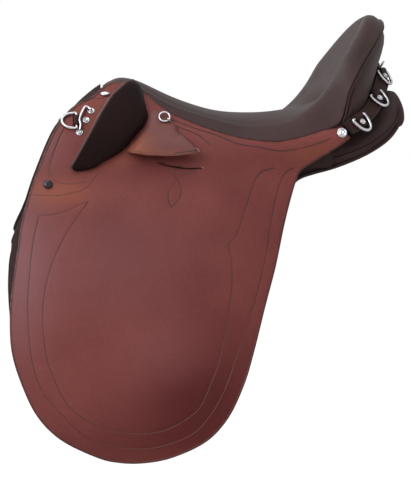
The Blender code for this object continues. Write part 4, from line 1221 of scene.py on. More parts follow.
@dataclass
class SeatAssembly:
    """Seat with its rolled cantle, welt, leather back and the strap that carries the dees."""
    reach: float = 0.4125
    pommel_x: float = -0.1995
    low: float = 0.104
    pommel_rise: float = 0.0505
    dish_rise: float = 0.020
    edge_low: float = 0.062
    pommel_edge_rise: float = 0.080
    cantle_rise: float = 0.183
    cantle_half_width: float = 0.152
    padding: float = 0.022
    edge_leather: float = 0.008
    welt: float = 0.0022
    cord: float = 0.0016
    gap: float = 0.0003
    front_ribs: Table = (
        (0.000, 0.00, 1.000, 0.010, 0.007), (0.014, 0.24, 1.035, 0.011, 0.006),
        (0.077, None, 1.050, 0.012, 0.005), (0.126, None, 0.896, 0.017, 0.007),
        (0.203, None, 0.558, 0.020, 0.013), (0.280, None, 0.364, 0.020, 0.015),
        (0.357, None, 0.208, 0.021, 0.018), (0.430, None, 0.091, 0.022, 0.019),
        (0.500, None, 0.026, 0.022, 0.020), (0.563, None, 0.000, 0.021, 0.024))
    rear_ribs: Table = (
        (0.616, None, 0.016, 0.018, 0.024), (0.679, None, 0.049, 0.020, 0.034),
        (0.737, None, 0.092, 0.030, 0.046), (0.788, 0.975, 0.1520, 0.046, 0.067),
        (0.811, 0.955, 0.355, 0.047, 0.045), (0.845, 0.890, 0.497, 0.044, 0.034),
        (0.907, 0.690, 0.696, 0.040, 0.026), (0.970, 0.380, 0.907, 0.036, 0.010),
        (1.000, 0.00, 1.000, 0.032, -0.003))
    spine_front: float = 0.070
    spine_rear: float = 0.790
    pommel_fall: Table = ((0.070, 1.0), (0.114, 0.97), (0.150, 0.80), (0.193, 0.65), (0.234, 0.455),
                          (0.278, 0.337), (0.321, 0.218), (0.365, 0.10), (0.408, 0.03), (0.476, 0.0))
    dish_sweep: Table = ((0.558, 0.0), (0.621, 0.15), (0.693, 0.40), (0.742, 0.65), (0.790, 1.0))
    roll_rise: float = 0.008
    strap_top: Table = ((0.9915, 0.0, 0.180), (0.9695, 0.3026, 0.1705), (0.9080, 0.6842, 0.1250),
                        (0.8620, 0.8553, 0.1060), (0.8242, 0.9539, 0.0965), (0.8017, 0.9947, 0.0885))
    strap_low: Table = ((1.0230, 0.0, 0.150), (1.0060, 0.3553, 0.1455), (0.9440, 0.7303, 0.1095),
                        (0.9100, 0.8684, 0.0955), (0.8509, 0.9967, 0.0775), (0.8274, 1.0316, 0.0735))
    strap_leather: float = 0.0035
    back_leather: float = 0.0045
    tree_middle: Sequence[float] = (0.120, 0.0, 0.060)
    first_cantle_rib: int = 13
    lean_from: float = 0.180
    cantle_top: float = 0.246
    lean: float = 0.0085
    cantle_front: float = 0.05
    corner_from: Sequence[float] = (0.176, 0.208)
    corner_reach: float = 0.042
    corner_cut: Sequence[float] = (0.0045, 0.0036)
    rib_steps: int = 6
    lip_rows: int = 7
    strap_shares: Sequence[float] = (0.0, 0.06, 0.2, 0.4, 0.6, 0.8, 0.94, 1.0)
    shoulders: Table = ((0.12, 0.75), (0.25, 1.3), (0.45, 1.6), (0.62, 1.5), (0.82, 0.9))

    def x(self, share: np.ndarray | float) -> np.ndarray | float:
        """Place along the saddle of a share of the seat."""
        return self.pommel_x + self.reach * share

    def share(self, x: float) -> float:
        """Share of the seat at a place along the saddle."""
        return (x - self.pommel_x) / self.reach

    def rib_rows(self) -> list[tuple[float, ...]]:
        """Edge place, half-width and height, rim width and rim height of each rib.

        Returns:
            One row for each rib, pommel first.
        """
        rows = []
        for ribs, rise in ((self.front_ribs, self.pommel_edge_rise), (self.rear_ribs, self.cantle_rise)):
            for share, width, climb, rim, lift in ribs:
                x, height = self.x(share), self.edge_low + rise * climb
                half = float(SIDE.width(x, height)) if width is None else self.cantle_half_width * width
                rows.append((x, half, height, rim, height + lift))
        return rows

    def edge_line(self) -> np.ndarray:
        """Seat edge in the side view from the tab forward to the pommel."""
        rows = [(r[0], r[2]) for r in self.rib_rows() if -0.170 < r[0] < 0.112]
        return np.array(rows[::-1])

    def rib(self, row: Sequence[float], steps: int) -> tuple[float, tuple[float, float], np.ndarray]:
        """One rib from the spine to the edge.

        Args:
            row: its edge place, half-width and height, rim width and rim height.
            steps: steps between two of its seven points.

        Returns:
            Where it starts on the spine, its direction in plan and its distance-height points.
        """
        x, half, edge, rim, ridge = row
        share = min(max(self.share(x), self.spine_front), self.spine_rear)
        start = self.x(share)
        centre = self.low + self.pommel_rise * float(table_values(self.pommel_fall, share)) \
            + self.dish_rise * float(table_values(self.dish_sweep, share))
        reach = math.hypot(x - start, half)
        direction = ((x - start) / reach, -half / reach)
        roll = float(smooth((self.share(x) - self.spine_rear) / (1 - self.spine_rear)))
        inner = max(reach - rim, reach * 0.3)
        shoulder = ridge + roll * self.roll_rise - (1 - roll) * 0.28 * (ridge - edge)
        points = [(0.0, centre), (0.22 * inner, centre + 0.035 * (ridge - centre)),
                  (0.48 * inner, centre + 0.20 * (ridge - centre)),
                  (0.80 * inner, centre + 0.58 * (ridge - centre)), (inner, ridge),
                  (inner + 0.50 * (reach - inner), shoulder), (reach, edge)]
        return start, direction, curve(points, steps)

    def fine_rows(self, per_span: int = 4) -> np.ndarray:
        """Rib rows with more between them."""
        return curve(self.rib_rows(), per_span)

    def cushion(self) -> Shell:
        """Padded seat: its face, the rolled rim and the underside, both halves in one body.

        Returns:
            The body.
        """
        tops, backs = [], []
        for row in self.fine_rows():
            start, direction, line = self.rib(row, self.rib_steps)
            reach, edge = line[-1]
            ridge_at = line[4 * self.rib_steps][0]
            run = np.gradient(line, axis=0)
            run /= np.maximum(np.linalg.norm(run, axis=1, keepdims=True), 1e-9)
            share = self.share(start)
            deep = self.padding * (0.45 + 0.55 * float(smooth(share / 0.3)))
            depth = deep + (self.edge_leather * 1.25 - deep) * smooth(line[:, 0] / ridge_at)
            under = np.column_stack((line[:, 0] + depth * run[:, 1], line[:, 1] - depth * run[:, 0]))
            under[0] = (0.0, line[0, 1] - depth[0])
            outside = line[:, 0] > ridge_at
            under[outside, 1] = np.maximum(under[outside, 1], edge + self.gap)
            last = len(line) - 1
            limit = reach - self.edge_leather - 0.00025 * (last - np.arange(last + 1))
            under[:, 0] = np.minimum(under[:, 0], limit)
            under[:, 0] = np.maximum(under[:, 0], 0.0)
            under[-1] = (reach - self.edge_leather, edge + self.gap)
            lip = [(reach + 0.0007, edge + 0.0006), (reach + 0.0002, edge - 0.0007),
                   (reach - 0.0015, edge - 0.0009)]
            line = np.vstack((line[:-1], lip))
            tops.append(self.placed(start, direction, line))
            low = np.vstack((under, under[-1:] + (0.003, 0.0), under[-1:] + (0.006, 0.0)))
            backs.append(self.placed(start, direction, low))
        return self.both(self.eased(np.array(tops)), np.array(backs))

    def eased(self, grid: np.ndarray, turns: int = 10) -> np.ndarray:
        """Near half with its bumps from rib to rib smoothed out, its last rows kept.

        Args:
            grid: points by rib and place on the rib, the last rib on the centre line.
            turns: how often each point moves towards its neighbours.

        Returns:
            The smoother points.
        """
        grid = grid.copy()
        free = np.ones(grid.shape[1] - self.lip_rows)
        share = np.concatenate((free, np.linspace(0.85, 0.0, self.lip_rows)))[None, :, None]
        for _ in range(turns):
            beyond = grid[-2:-1] * (1, -1, 1)
            ahead = np.concatenate((grid[1:], beyond))
            behind = np.concatenate((grid[:1], grid[:-1]))
            moved = 0.25 * ahead + 0.5 * grid + 0.25 * behind
            moved[0] = grid[0]
            grid = grid + share * (moved - grid)
        return grid

    @staticmethod
    def placed(start: float, direction: Sequence[float], line: np.ndarray) -> np.ndarray:
        """Rib points in the saddle's frame, near side."""
        return np.column_stack((start + direction[0] * line[:, 0], direction[1] * line[:, 0], line[:, 1]))

    @staticmethod
    def both(near: np.ndarray, under: np.ndarray) -> Shell:
        """Closed body of two halves that share the spine.

        Args:
            near: face points of the near half, spine first.
            under: points of its underside.

        Returns:
            The whole seat.
        """
        top = np.concatenate((near[:, ::-1], near[:, 1:] * (1, -1, 1)), axis=1)
        low = np.concatenate((under[:, ::-1], under[:, 1:] * (1, -1, 1)), axis=1)
        rows, cols = top.shape[:2]
        n = rows * cols
        face = lattice(top)
        faces = face + [tuple(i + n for i in f[::-1]) for f in face]
        for i in range(rows - 1):
            a, b = i * cols, (i + 1) * cols
            faces.append((a, a + n, b + n, b))
            a, b = i * cols + cols - 1, (i + 1) * cols + cols - 1
            faces.append((a, b, b + n, a + n))
        for i in (0, rows - 1):
            for j in range(cols - 1):
                quad = (i * cols + j, i * cols + j + 1, i * cols + j + 1 + n, i * cols + j + n)
                faces.append(quad if i == 0 else quad[::-1])
        verts = np.vstack((top.reshape(-1, 3), low.reshape(-1, 3)))
        edge = np.zeros((rows, cols))
        edge[:, :2] = edge[:, -2:] = 0.8
        marks = {Mark.EDGE.value: np.concatenate((edge.ravel(), np.ones(n)))}
        return welded(Shell(verts, faces, marks))

    def cantle_stations(self) -> list[tuple[np.ndarray, np.ndarray, np.ndarray]]:
        """Seat edge from the middle of the cantle to the near tab: point, inward and away.

        Returns:
            The three for each station.
        """
        rows = self.fine_rows(4)[4 * self.first_cantle_rib - 2:][::-1]
        edges = np.array([(x, -half, edge) for x, half, edge, *_ in rows])
        tangents = np.gradient(edges, axis=0)
        tangents[0] = (0.0, -1.0, 0.0)
        out = []
        for row, spot, tangent in zip(rows, edges, tangents):
            start = self.x(min(self.share(row[0]), self.spine_rear))
            inward = Vector((start - spot[0], -spot[1], 0.0)).normalized()
            normal = Vector(tangent).cross(inward).normalized()
            if normal.z > 0:
                normal = -normal
            out.append((spot, np.array(inward), np.array(normal)))
        return out

    def strap_edges(self, per_span: int) -> tuple[np.ndarray, np.ndarray]:
        """Upper and lower edge of the dee strap, near half from the centre line outward.

        Args:
            per_span: steps between two of its points.

        Returns:
            The two edges.
        """
        return tuple(curve([(self.x(s), -self.cantle_half_width * w, z) for s, w, z in table], per_span)
                     for table in (self.strap_top, self.strap_low))

    def strap_grid(self, per_span: int = 6) -> np.ndarray:
        """Outer face of the strap, from edge to edge at each station, both halves.

        Args:
            per_span: steps between two of its points.

        Returns:
            The grid of points.
        """
        top, low = self.strap_edges(per_span)
        near = np.array([[t + (b - t) * s for s in self.strap_shares] for t, b in zip(top, low)])
        return np.concatenate((near[:0:-1] * (1, -1, 1), near))

    def behind(self, grid: np.ndarray, depth: float) -> np.ndarray:
        """Grid moved along its normals towards the tree.

        Args:
            grid: the points.
            depth: how far.

        Returns:
            The new points.
        """
        along, across = np.gradient(grid, axis=0), np.gradient(grid, axis=1)
        normals = np.cross(along, across)
        normals /= np.maximum(np.linalg.norm(normals, axis=2, keepdims=True), 1e-12)
        facing = np.sign((normals * (np.array(self.tree_middle) - grid)).sum(2, keepdims=True))
        return grid + normals * facing * depth

    def strap(self) -> Shell:
        """Leather strap round the back of the cantle."""
        grid = self.strap_grid()
        return slab(grid, self.behind(grid, self.strap_leather), 0.25)

    def strap_stitching(self) -> Shell:
        """Rows of stitches inside the strap's two edges.

        Returns:
            The stitches.
        """
        grid = self.strap_grid()
        out = grid - self.behind(grid, 1.0)
        return combined([THREAD.along(grid[:, column], out[:, column]) for column in (1, -2)])

    def back(self) -> Shell:
        """Leather back of the cantle from the welt down behind the strap.

        Returns:
            The body.
        """
        strap = self.behind(self.strap_grid(10), self.strap_leather + self.gap)
        half = strap[len(strap) // 2:]
        stations = self.cantle_stations()
        reach = np.linspace(0, len(half) - 1, len(stations))
        rows = []
        for (spot, inward, normal), place in zip(stations, reach):
            i = int(min(place, len(half) - 2))
            line = half[i] + (half[i + 1] - half[i]) * (place - i)
            top = spot + inward * (2 * self.welt - 0.001 + 2 * self.gap) + normal * 2 * self.gap
            drop = top[2] - line[0][2]
            neck = top + normal * min(2 * self.welt + 0.0012, 0.5 * drop)
            bulge = -inward * 0.004 * min(drop / 0.050, 1.0)
            rounds = [neck + (line[0] - neck) * t + bulge * lift for t, lift in self.shoulders]
            rows.append([top, neck] + rounds + list(line[::2]))
        near = np.array(rows)
        whole = np.concatenate((near[:0:-1] * (1, -1, 1), near))
        return slab(whole, self.behind(whole, self.back_leather), 0.2)

    def welt_cord(self) -> Shell:
        """Covered cord in the seam along the cantle's edge.

        Returns:
            The cord.
        """
        path = [spot + inward * (self.welt - 0.001) + normal * (self.welt + 2 * self.gap)
                for spot, inward, normal in self.cantle_stations()[:-2]]
        near = np.array(path)
        return tube(np.concatenate((near[:0:-1] * (1, -1, 1), near)), self.cord, 10)

    def leaned(self, shell: Shell) -> Shell:
        """Body with the head of the cantle leaned back and its rear corner rounded.

        Args:
            shell: a body of the seat.

        Returns:
            The body, moved only near the head of the cantle.
        """
        x, z = shell.verts[:, 0], shell.verts[:, 2]
        back = np.clip((z - self.lean_from) / (self.cantle_top - self.lean_from), 0, None)
        corner = smooth((x - self.corner_from[0]) / self.corner_reach) \
            * smooth((z - self.corner_from[1]) / self.corner_reach)
        shift = np.column_stack((self.lean * back * (x > self.cantle_front) - self.corner_cut[0] * corner,
                                 np.zeros(len(x)), -self.corner_cut[1] * corner))
        return Shell(shell.verts + shift, shell.faces, shell.marks)

    def build(self) -> None:
        """Make and dress every piece of the seat."""
        seat = place_piece(self.leaned(self.cushion()), "seat_cushion", DARK, "saddle", ["seat"])
        place_piece(self.leaned(self.welt_cord()), "cantle_welt_cord", DARK, "saddle", ["cantle_welt"])
        place_piece(self.leaned(self.back()), "cantle_back_leather", DARK, "saddle", ["cantle_back"])
        place_piece(self.strap(), "dee_strap_leather", STRAP, "saddle", ["dee_strap"])
        place_piece(self.strap_stitching(), "dee_strap_stitching", STRAP_THREAD, "saddle")


def welded(shell: Shell) -> Shell:
    """Body with its doubled points joined and its empty faces gone.

    Args:
        shell: the body.

    Returns:
        The clean body, with its marks.
    """
    bm = bmesh.new()
    for name in shell.marks:
        bm.verts.layers.float.new(name)
    layers = {name: bm.verts.layers.float[name] for name in shell.marks}
    spots = [bm.verts.new(tuple(v)) for v in shell.verts]
    for name, values in shell.marks.items():
        for vert, value in zip(spots, values):
            vert[layers[name]] = float(value)
    for f in shell.faces:
        bm.faces.new([spots[i] for i in f])
    bmesh.ops.remove_doubles(bm, verts=bm.verts[:], dist=2e-5)
    bmesh.ops.dissolve_degenerate(bm, edges=bm.edges[:], dist=1e-6)
    bmesh.ops.recalc_face_normals(bm, faces=bm.faces[:])
    bm.verts.index_update()
    verts = np.array([tuple(v.co) for v in bm.verts])
    faces = [tuple(v.index for v in f.verts) for f in bm.faces]
    marks = {name: np.array([v[layers[name]] for v in bm.verts]) for name in shell.marks}
    bm.free()
    return faced_out(Shell(verts, faces, marks))


@dataclass
class FlapAssembly:
    """Long flaps, skirts, sweat flaps and girth points of both sides."""
    leather: float = 0.004
    front: Table = ((-0.1908, 0.1461), (-0.2016, 0.1395), (-0.2078, 0.1341), (-0.2140, 0.1285),
                    (-0.2238, 0.1219), (-0.2345, 0.1171), (-0.2428, 0.1118), (-0.2500, 0.1047),
                    (-0.2646, 0.0890), (-0.2750, 0.0722), (-0.2850, 0.0501), (-0.2970, 0.0199))
    lower: Table = (
        (-0.3055, -0.003), (-0.3148, -0.033), (-0.3212, -0.062), (-0.3245, -0.085), (-0.3285, -0.110),
        (-0.3335, -0.145), (-0.3355, -0.178), (-0.3333, -0.221), (-0.3206, -0.2645), (-0.2996, -0.3086),
        (-0.2675, -0.3415), (-0.2195, -0.3660), (-0.190, -0.3737), (-0.157, -0.3752), (-0.117, -0.3687),
        (-0.070, -0.348), (-0.039, -0.316), (-0.017, -0.272), (-0.003, -0.229), (0.015, -0.164),
        (0.031, -0.110), (0.0445, -0.056), (0.058, -0.012), (0.068, 0.013))
    tab: Table = ((0.076, 0.023), (0.0955, 0.036), (0.121, 0.053), (0.1380, 0.0665))
    tab_corner: Sequence[float] = (0.1268, 0.0848)
    skirt: Table = (
        (-0.1040, 0.0885), (-0.096, 0.0740), (-0.081, 0.057), (-0.0735, 0.048), (-0.080, 0.0455),
        (-0.111, 0.0425), (-0.150, 0.0438), (-0.1655, 0.0455), (-0.1730, 0.0480), (-0.1650, 0.0575),
        (-0.1500, 0.0745), (-0.1405, 0.0885), (-0.1375, 0.0990), (-0.1280, 0.1060))
    skirt_seat: Table = ((-0.1730, 0.0470), (-0.1735, 0.0480), (-0.1650, 0.0575), (-0.1500, 0.0745),
                         (-0.1405, 0.0885), (-0.1375, 0.0990), (-0.1280, 0.1060), (-0.1040, 0.0890),
                         (-0.0965, 0.0750))
    skirt_lip: Table = ((-0.1655, 0.0455), (-0.150, 0.0438), (-0.111, 0.0425), (-0.080, 0.0455),
                        (-0.0735, 0.0480), (-0.0770, 0.0530))
    skirt_turn: float = 0.007
    skirt_skive: float = 0.006
    skirt_leather: float = 0.0035
    skirt_lift: float = 0.0185
    slot: Table = ((-0.1300, 0.0325), (-0.1124, 0.0277), (-0.0888, 0.0238), (-0.0664, 0.0248))
    slot_width: float = 0.0012
    binding: Table = ((-0.0715, 0.0262), (-0.0675, 0.0258), (-0.0650, 0.0243), (-0.0668, 0.0230))
    window: Table = ((-0.1575, 0.0455), (-0.0880, 0.0455), (-0.0930, 0.0625), (-0.1575, 0.0625))
    sweat_depth: float = 0.0091
    sweat_leather: float = 0.0042
    sweat: Table = (
        (-0.2050, 0.1440), (-0.2110, 0.1400), (-0.2215, 0.1315), (-0.2318, 0.1222), (-0.2460, 0.1070),
        (-0.2621, 0.0905), (-0.2725, 0.0740), (-0.2820, 0.0520), (-0.2938, 0.0225), (-0.3080, -0.0140),
        (-0.3197, -0.0429), (-0.3274, -0.0592), (-0.3332, -0.0741), (-0.3312, -0.0792),
        (-0.3345, -0.0918), (-0.3366, -0.1079), (-0.3376, -0.1403), (-0.3345, -0.181), (-0.3240, -0.221),
        (-0.310, -0.260), (-0.290, -0.301), (-0.261, -0.331), (-0.217, -0.3535), (-0.190, -0.360),
        (-0.157, -0.3615), (-0.120, -0.356), (-0.077, -0.338), (-0.049, -0.309), (-0.028, -0.267),
        (-0.015, -0.225), (0.003, -0.160), (0.019, -0.106), (0.0325, -0.052), (0.048, -0.008),
        (0.055, 0.0145), (-0.242, 0.015), (-0.234, 0.057), (-0.218, 0.090), (-0.204, 0.119))
    point_depth: float = 0.0043
    point_leather: float = 0.0045
    point_width: float = 0.032
    point_drop: float = 0.215
    point_hole: float = 0.0028
    hole_pitch: float = 0.030
    points: Sequence[tuple[str, float]] = (("a", -0.095), ("b", -0.045))
    # Warm spots are the leather's orange stain; purplish spots paint sheen where the flap faces the lamps;
    # dark spots paint shade low at the rear, where it turns away, and under the skirt.
    tones: Sequence[tuple[Mark, float, float, float, float, float]] = (
        (Mark.WARM, -0.275, -0.008, 0.050, 0.020, 0.55), (Mark.WARM, 0.090, 0.045, 0.040, 0.020, 0.30),
        (Mark.WARM, -0.190, 0.035, 0.040, 0.010, 0.30), (Mark.WARM, -0.225, 0.100, 0.030, 0.030, 0.25),
        (Mark.PAINTED_SHEEN, -0.325, -0.110, 0.045, 0.110, 0.85), (Mark.PAINTED_SHEEN, -0.200, -0.100, 0.120, 0.080, 0.30),
        (Mark.PAINTED_SHEEN, -0.120, -0.240, 0.060, 0.050, 0.25), (Mark.PAINTED_SHEEN, -0.290, 0.060, 0.035, 0.035, 0.45),
        (Mark.PAINTED_SHADE, -0.100, -0.300, 0.080, 0.055, 0.80), (Mark.PAINTED_SHADE, -0.150, -0.350, 0.120, 0.030, 0.50),
        (Mark.PAINTED_SHADE, -0.045, -0.250, 0.055, 0.100, 0.50), (Mark.PAINTED_SHADE, 0.020, -0.100, 0.050, 0.110, 0.20),
        (Mark.PAINTED_SHADE, -0.145, 0.025, 0.060, 0.018, 0.25))
    skirt_tones: Sequence[tuple[Mark, float, float, float, float, float]] = (
        (Mark.WARM, -0.160, 0.052, 0.022, 0.024, 0.45), (Mark.WARM, -0.120, 0.0435, 0.060, 0.005, 0.35))
    bend_top: float = 0.0195
    bend_low: float = 0.0065
    edge_row: float = 0.0023
    edge_row_share: float = 0.80
    binding_radius: float = 0.0008
    binding_rise: float = 0.0004
    outline_step: float = 0.004
    seam_step: float = 0.0033
    gap: float = 0.0003
    skirt_top: float = 0.092
    skirt_rise_run: float = 0.036
    skirt_row: float = 0.0034
    skirt_edge: Sequence[float] = (0.0004, 0.0011)
    point_taper: float = 0.012
    point_holes: int = 5
    first_hole: float = 0.020
    outer_seam: Table = (
        (-0.2948, -0.0397), (-0.3019, -0.0680), (-0.3062, -0.0974),
        (-0.3091, -0.1282), (-0.3113, -0.1669), (-0.3065, -0.2297), (-0.2928, -0.2741),
        (-0.2622, -0.3111), (-0.2340, -0.3373), (-0.2003, -0.3503), (-0.1636, -0.3552),
        (-0.1294, -0.3519), (-0.0910, -0.3378), (-0.0646, -0.3125), (-0.0422, -0.2734),
        (-0.0235, -0.2221), (-0.0080, -0.1810), (0.0070, -0.1330), (0.0190, -0.0870),
        (0.0245, -0.0560), (0.0340, -0.0180), (0.0430, 0.0070), (0.0510, 0.0190), (0.0610, 0.0245))
    outer_seam_top: Table = ((-0.2948, -0.0397), (-0.2702, -0.0372), (-0.2538, -0.0319),
                             (-0.2386, -0.0245), (-0.2275, -0.0212))
    inner_seam: Table = (
        (-0.2275, -0.0212), (-0.2388, -0.0360), (-0.2541, -0.0575), (-0.2653, -0.0763),
        (-0.2764, -0.1004), (-0.2848, -0.1258), (-0.2891, -0.1484), (-0.2914, -0.1792),
        (-0.2870, -0.2247), (-0.2766, -0.2583), (-0.2593, -0.2923), (-0.2339, -0.3144),
        (-0.2055, -0.3285), (-0.1634, -0.3348), (-0.1293, -0.3315), (-0.1004, -0.3185),
        (-0.0769, -0.2986), (-0.0614, -0.2649), (-0.0510, -0.2393), (-0.0400, -0.1900),
        (-0.0345, -0.1560), (-0.0310, -0.1290), (-0.0315, -0.1000), (-0.0355, -0.0800))
    inner_seam_rise: Table = ((-0.0355, -0.0800), (-0.0225, -0.0660), (-0.0100, -0.0330),
                              (0.0030, 0.0000), (0.0110, 0.0150), (0.0210, 0.0210), (0.0330, 0.0245))
    pad_loop: Table = ((-0.3014, -0.0113), (-0.2768, -0.0128), (-0.2534, -0.0102), (-0.2341, -0.0048),
                       (-0.2229, 0.0047), (-0.2129, 0.0185))
    pad_inner: Table = ((-0.2582, 0.0806), (-0.2646, 0.0695), (-0.2718, 0.0529), (-0.2775, 0.0363),
                        (-0.2797, 0.0254), (-0.2785, 0.0158), (-0.2697, 0.0062), (-0.2532, 0.0034),
                        (-0.2311, 0.0061))
    nail_row: Table = ((-0.2313, 0.1187), (-0.2200, 0.1216), (-0.2030, 0.1222))
    seat_row: Table = ((-0.1096, 0.0933), (-0.0764, 0.0806), (-0.0463, 0.0708), (-0.0154, 0.0583),
                       (0.0143, 0.0534), (0.0400, 0.0486), (0.0644, 0.0514), (0.0905, 0.0584),
                       (0.1105, 0.0665))
    seat_row_low: Table = ((-0.1016, 0.0834), (-0.0713, 0.0708), (-0.0555, 0.0570))
    lozenge: Table = ((-0.1181, 0.0236), (-0.1059, 0.0139), (-0.0993, 0.0028), (-0.0983, -0.0081),
                      (-0.1030, -0.0204), (-0.1124, -0.0290))
    lozenge_far: Table = ((-0.0762, 0.0195), (-0.0889, 0.0170), (-0.0990, 0.0111), (-0.1091, 0.0029),
                          (-0.1159, -0.0081), (-0.1163, -0.0190), (-0.1124, -0.0290))

    def outline(self, seat: SeatAssembly) -> np.ndarray:
        """Flap's outline in the side view, turning left round the leather.

        Args:
            seat: the seat whose edge the top follows.

        Returns:
            The closed outline.
        """
        step = self.outline_step
        front = spaced(curve(list(self.front) + list(self.lower) + list(self.tab), 6), step)
        corner = spaced(np.array([self.tab[-1], self.tab_corner]), step)
        top = seat.edge_line() + (0.0, 0.0008)
        along = spaced(curve(np.vstack((np.array([self.tab_corner]), top)), 6), step)
        close = spaced(np.array([along[-1], self.front[0]]), step)
        return np.vstack((front[:-1], corner[:-1], along[:-1], close[:-1]))

    def seams(self) -> list[np.ndarray]:
        """Stitch lines of the flap."""
        tables = (self.outer_seam, self.outer_seam_top, self.inner_seam, self.inner_seam_rise,
                  self.pad_loop, self.pad_inner, self.nail_row, self.seat_row, self.seat_row_low,
                  self.lozenge, self.lozenge_far)
        return [spaced(curve(t, 6), self.seam_step) for t in tables]

    def slot_outline(self) -> np.ndarray:
        """Slot for the stirrup leather, a narrow curved opening.

        Returns:
            The closed outline.
        """
        line = spaced(curve(self.slot, 6), 0.0035)
        half = self.slot_width / 2 * np.sin(np.linspace(0.15, math.pi - 0.15, len(line)))[:, None]
        run = np.gradient(line, axis=0)
        run /= np.linalg.norm(run, axis=1, keepdims=True)
        side = np.column_stack((-run[:, 1], run[:, 0]))
        return np.vstack((line - side * half, (line + side * half)[::-1]))

    def slot_binding(self) -> Shell:
        """Pale curled end of the slot's binding.

        Returns:
            The body.
        """
        line = curve(self.binding, 6)
        x, z = line[:, 0], line[:, 1]
        radii = self.binding_radius * np.sin(np.linspace(0.35, math.pi - 0.35, len(x)))
        return tube(SIDE.points(x, z, -self.binding_rise), radii, CORD_SIDES)

    def flap(self, seat: SeatAssembly) -> tuple[Shell, Shell]:
        """Flap leather and its stitching on the near side.

        Args:
            seat: the seat whose edge the top follows.

        Returns:
            The two bodies.
        """
        outline = self.outline(seat)
        window = spaced(np.array(self.window), self.outline_step, closed=True)
        border = spaced(inset(outline, self.edge_row)[:int(len(outline) * self.edge_row_share)], 0.0035)
        seams = self.seams()
        cut = LeatherCut(outline, self.leather, 0.0, seams + [border], [self.slot_outline(), window],
                         levels=np.linspace(self.bend_top, self.bend_low, 5), tones=self.tones)
        rows = [THREAD.on_side(line, cut.seam_depth) for line in seams + [border]]
        return cut.shell(), combined(rows)

    def rise(self, z: float) -> float:
        """Height of the skirt's face over the flap, away from its sewn edges."""
        rising = float(smooth((self.skirt_top - z) / self.skirt_rise_run))
        return self.gap + self.skirt_lift * rising + self.skirt_leather

    def lift(self, x: np.ndarray, z: np.ndarray) -> np.ndarray:
        """Depth of the skirt's face, outside the flap and down to it along its sewn edges.

        Args:
            x: places along the saddle.
            z: heights.

        Returns:
            The depths, negative outside the flap's face.
        """
        inward = to_line(np.column_stack((x, z)), curve(self.skirt_seat, 4))
        turned = smooth(inward / self.skirt_turn)
        skived = 0.15 + 0.85 * smooth(inward / self.skirt_skive)
        rising = smooth((self.skirt_top - z) / self.skirt_rise_run)
        return -(self.gap + self.skirt_lift * rising * turned) - self.skirt_leather * skived

    def skirt_pieces(self) -> tuple[Shell, Shell, Shell]:
        """Raised skirt over the stirrup bar, its stitching and its pale cut edge.

        Returns:
            The three bodies.
        """
        outline = spaced(curve(self.skirt, 8, closed=True), 0.0035, closed=True)
        if signed_area(outline) < 0:
            outline = outline[::-1]
        lip = curve(self.skirt_lip, 6)
        row = spaced(beside(lip, self.skirt_row), self.seam_step)
        cut = LeatherCut(outline, self.skirt_leather, self.lift, [row], spacing=0.005, floor=-self.gap,
                         tones=self.skirt_tones)
        fine = spaced(row, FINE_STEP)
        x, z = fine[:, 0], fine[:, 1]
        stitches = THREAD.along(SIDE.points(x, z, self.lift(x, z) + 0.0004), SIDE.normals(x, z))
        x, z = lip[:, 0], lip[:, 1]
        thin, full = self.skirt_edge
        radii = np.interp(np.arange(len(x)), (0, 6, len(x) - 6, len(x) - 1), (thin, full, full, thin))
        edge = tube(SIDE.points(x, z + 0.0006, self.lift(x, z) + 0.0016), radii, 8)
        return cut.shell(), stitches, edge

    def sweat_flap(self) -> Shell:
        """Dark leather flap that keeps the horse's sweat off the long flap.

        Returns:
            The body.
        """
        front = spaced(curve(self.sweat[:35], 5), 0.005)
        tongue = spaced(curve(self.sweat[35:], 4), 0.005)
        outline = np.vstack((front, tongue))
        return LeatherCut(outline, self.sweat_leather, self.sweat_depth, spacing=0.010).shell()

    def girth_point(self, place: float) -> Shell:
        """Strap with its row of holes.

        Args:
            place: where its middle is along the saddle.

        Returns:
            The body.
        """
        half, top = self.point_width / 2, SIDE.bend - 0.002
        low = top - self.point_drop
        taper = low + self.point_taper
        corners = [(-half, top), (-half, taper), (-half * 0.6, low), (half * 0.6, low), (half, taper),
                   (half, top)]
        outline = spaced(np.array(corners) + (place, 0.0), self.outline_step, closed=True)
        holes = []
        turns = np.linspace(0, 2 * math.pi, 12, endpoint=False)
        for k in range(self.point_holes):
            z = SIDE.bend - self.point_drop + self.first_hole + self.hole_pitch * k
            holes.append(np.column_stack((place + self.point_hole * np.cos(turns),
                                          z + self.point_hole * np.sin(turns))))
        return LeatherCut(outline, self.point_leather, self.point_depth, holes=holes,
                          rounding=0.0009).shell()

    def build(self, seat: SeatAssembly) -> None:
        """Make and dress the leather of both sides.

        Args:
            seat: the seat that the flaps hang from.
        """
        flap, stitching = self.flap(seat)
        skirt, skirt_stitching, skirt_edge = self.skirt_pieces()
        sweat = self.sweat_flap()
        straps = {label: self.girth_point(place) for label, place in self.points}
        binding = self.slot_binding()
        for end in End:
            side = end.value
            body = "flap_" + side
            piece = dressed(flap.on(end), "flap_leather_" + side, TAN)
            self.bent(piece, body, end)
            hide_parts("flap_top_" + side, "flap_" + side)
            place_piece(binding.on(end), "slot_binding_" + side, RAW_EDGE, "saddle")
            self.bent(dressed(stitching.on(end), "flap_stitching_" + side, DARK_THREAD), body, end)
            place_piece(skirt.on(end), "skirt_leather_" + side, TAN_UPPER, "saddle", ["skirt_" + side])
            place_piece(skirt_stitching.on(end), "skirt_stitching_" + side, DARK_THREAD, "saddle")
            place_piece(skirt_edge.on(end), "skirt_edge_" + side, RAW_EDGE, "saddle")
            place_piece(sweat.on(end), "sweat_leather_" + side, UNDER, "saddle", ["sweat_flap_" + side])
            for label, strap in straps.items():
                name = "girth_point_%s_%s" % (label, side)
                place_piece(strap.on(end), "girth_strap_%s_%s" % (label, side), TAN, "saddle", [name])

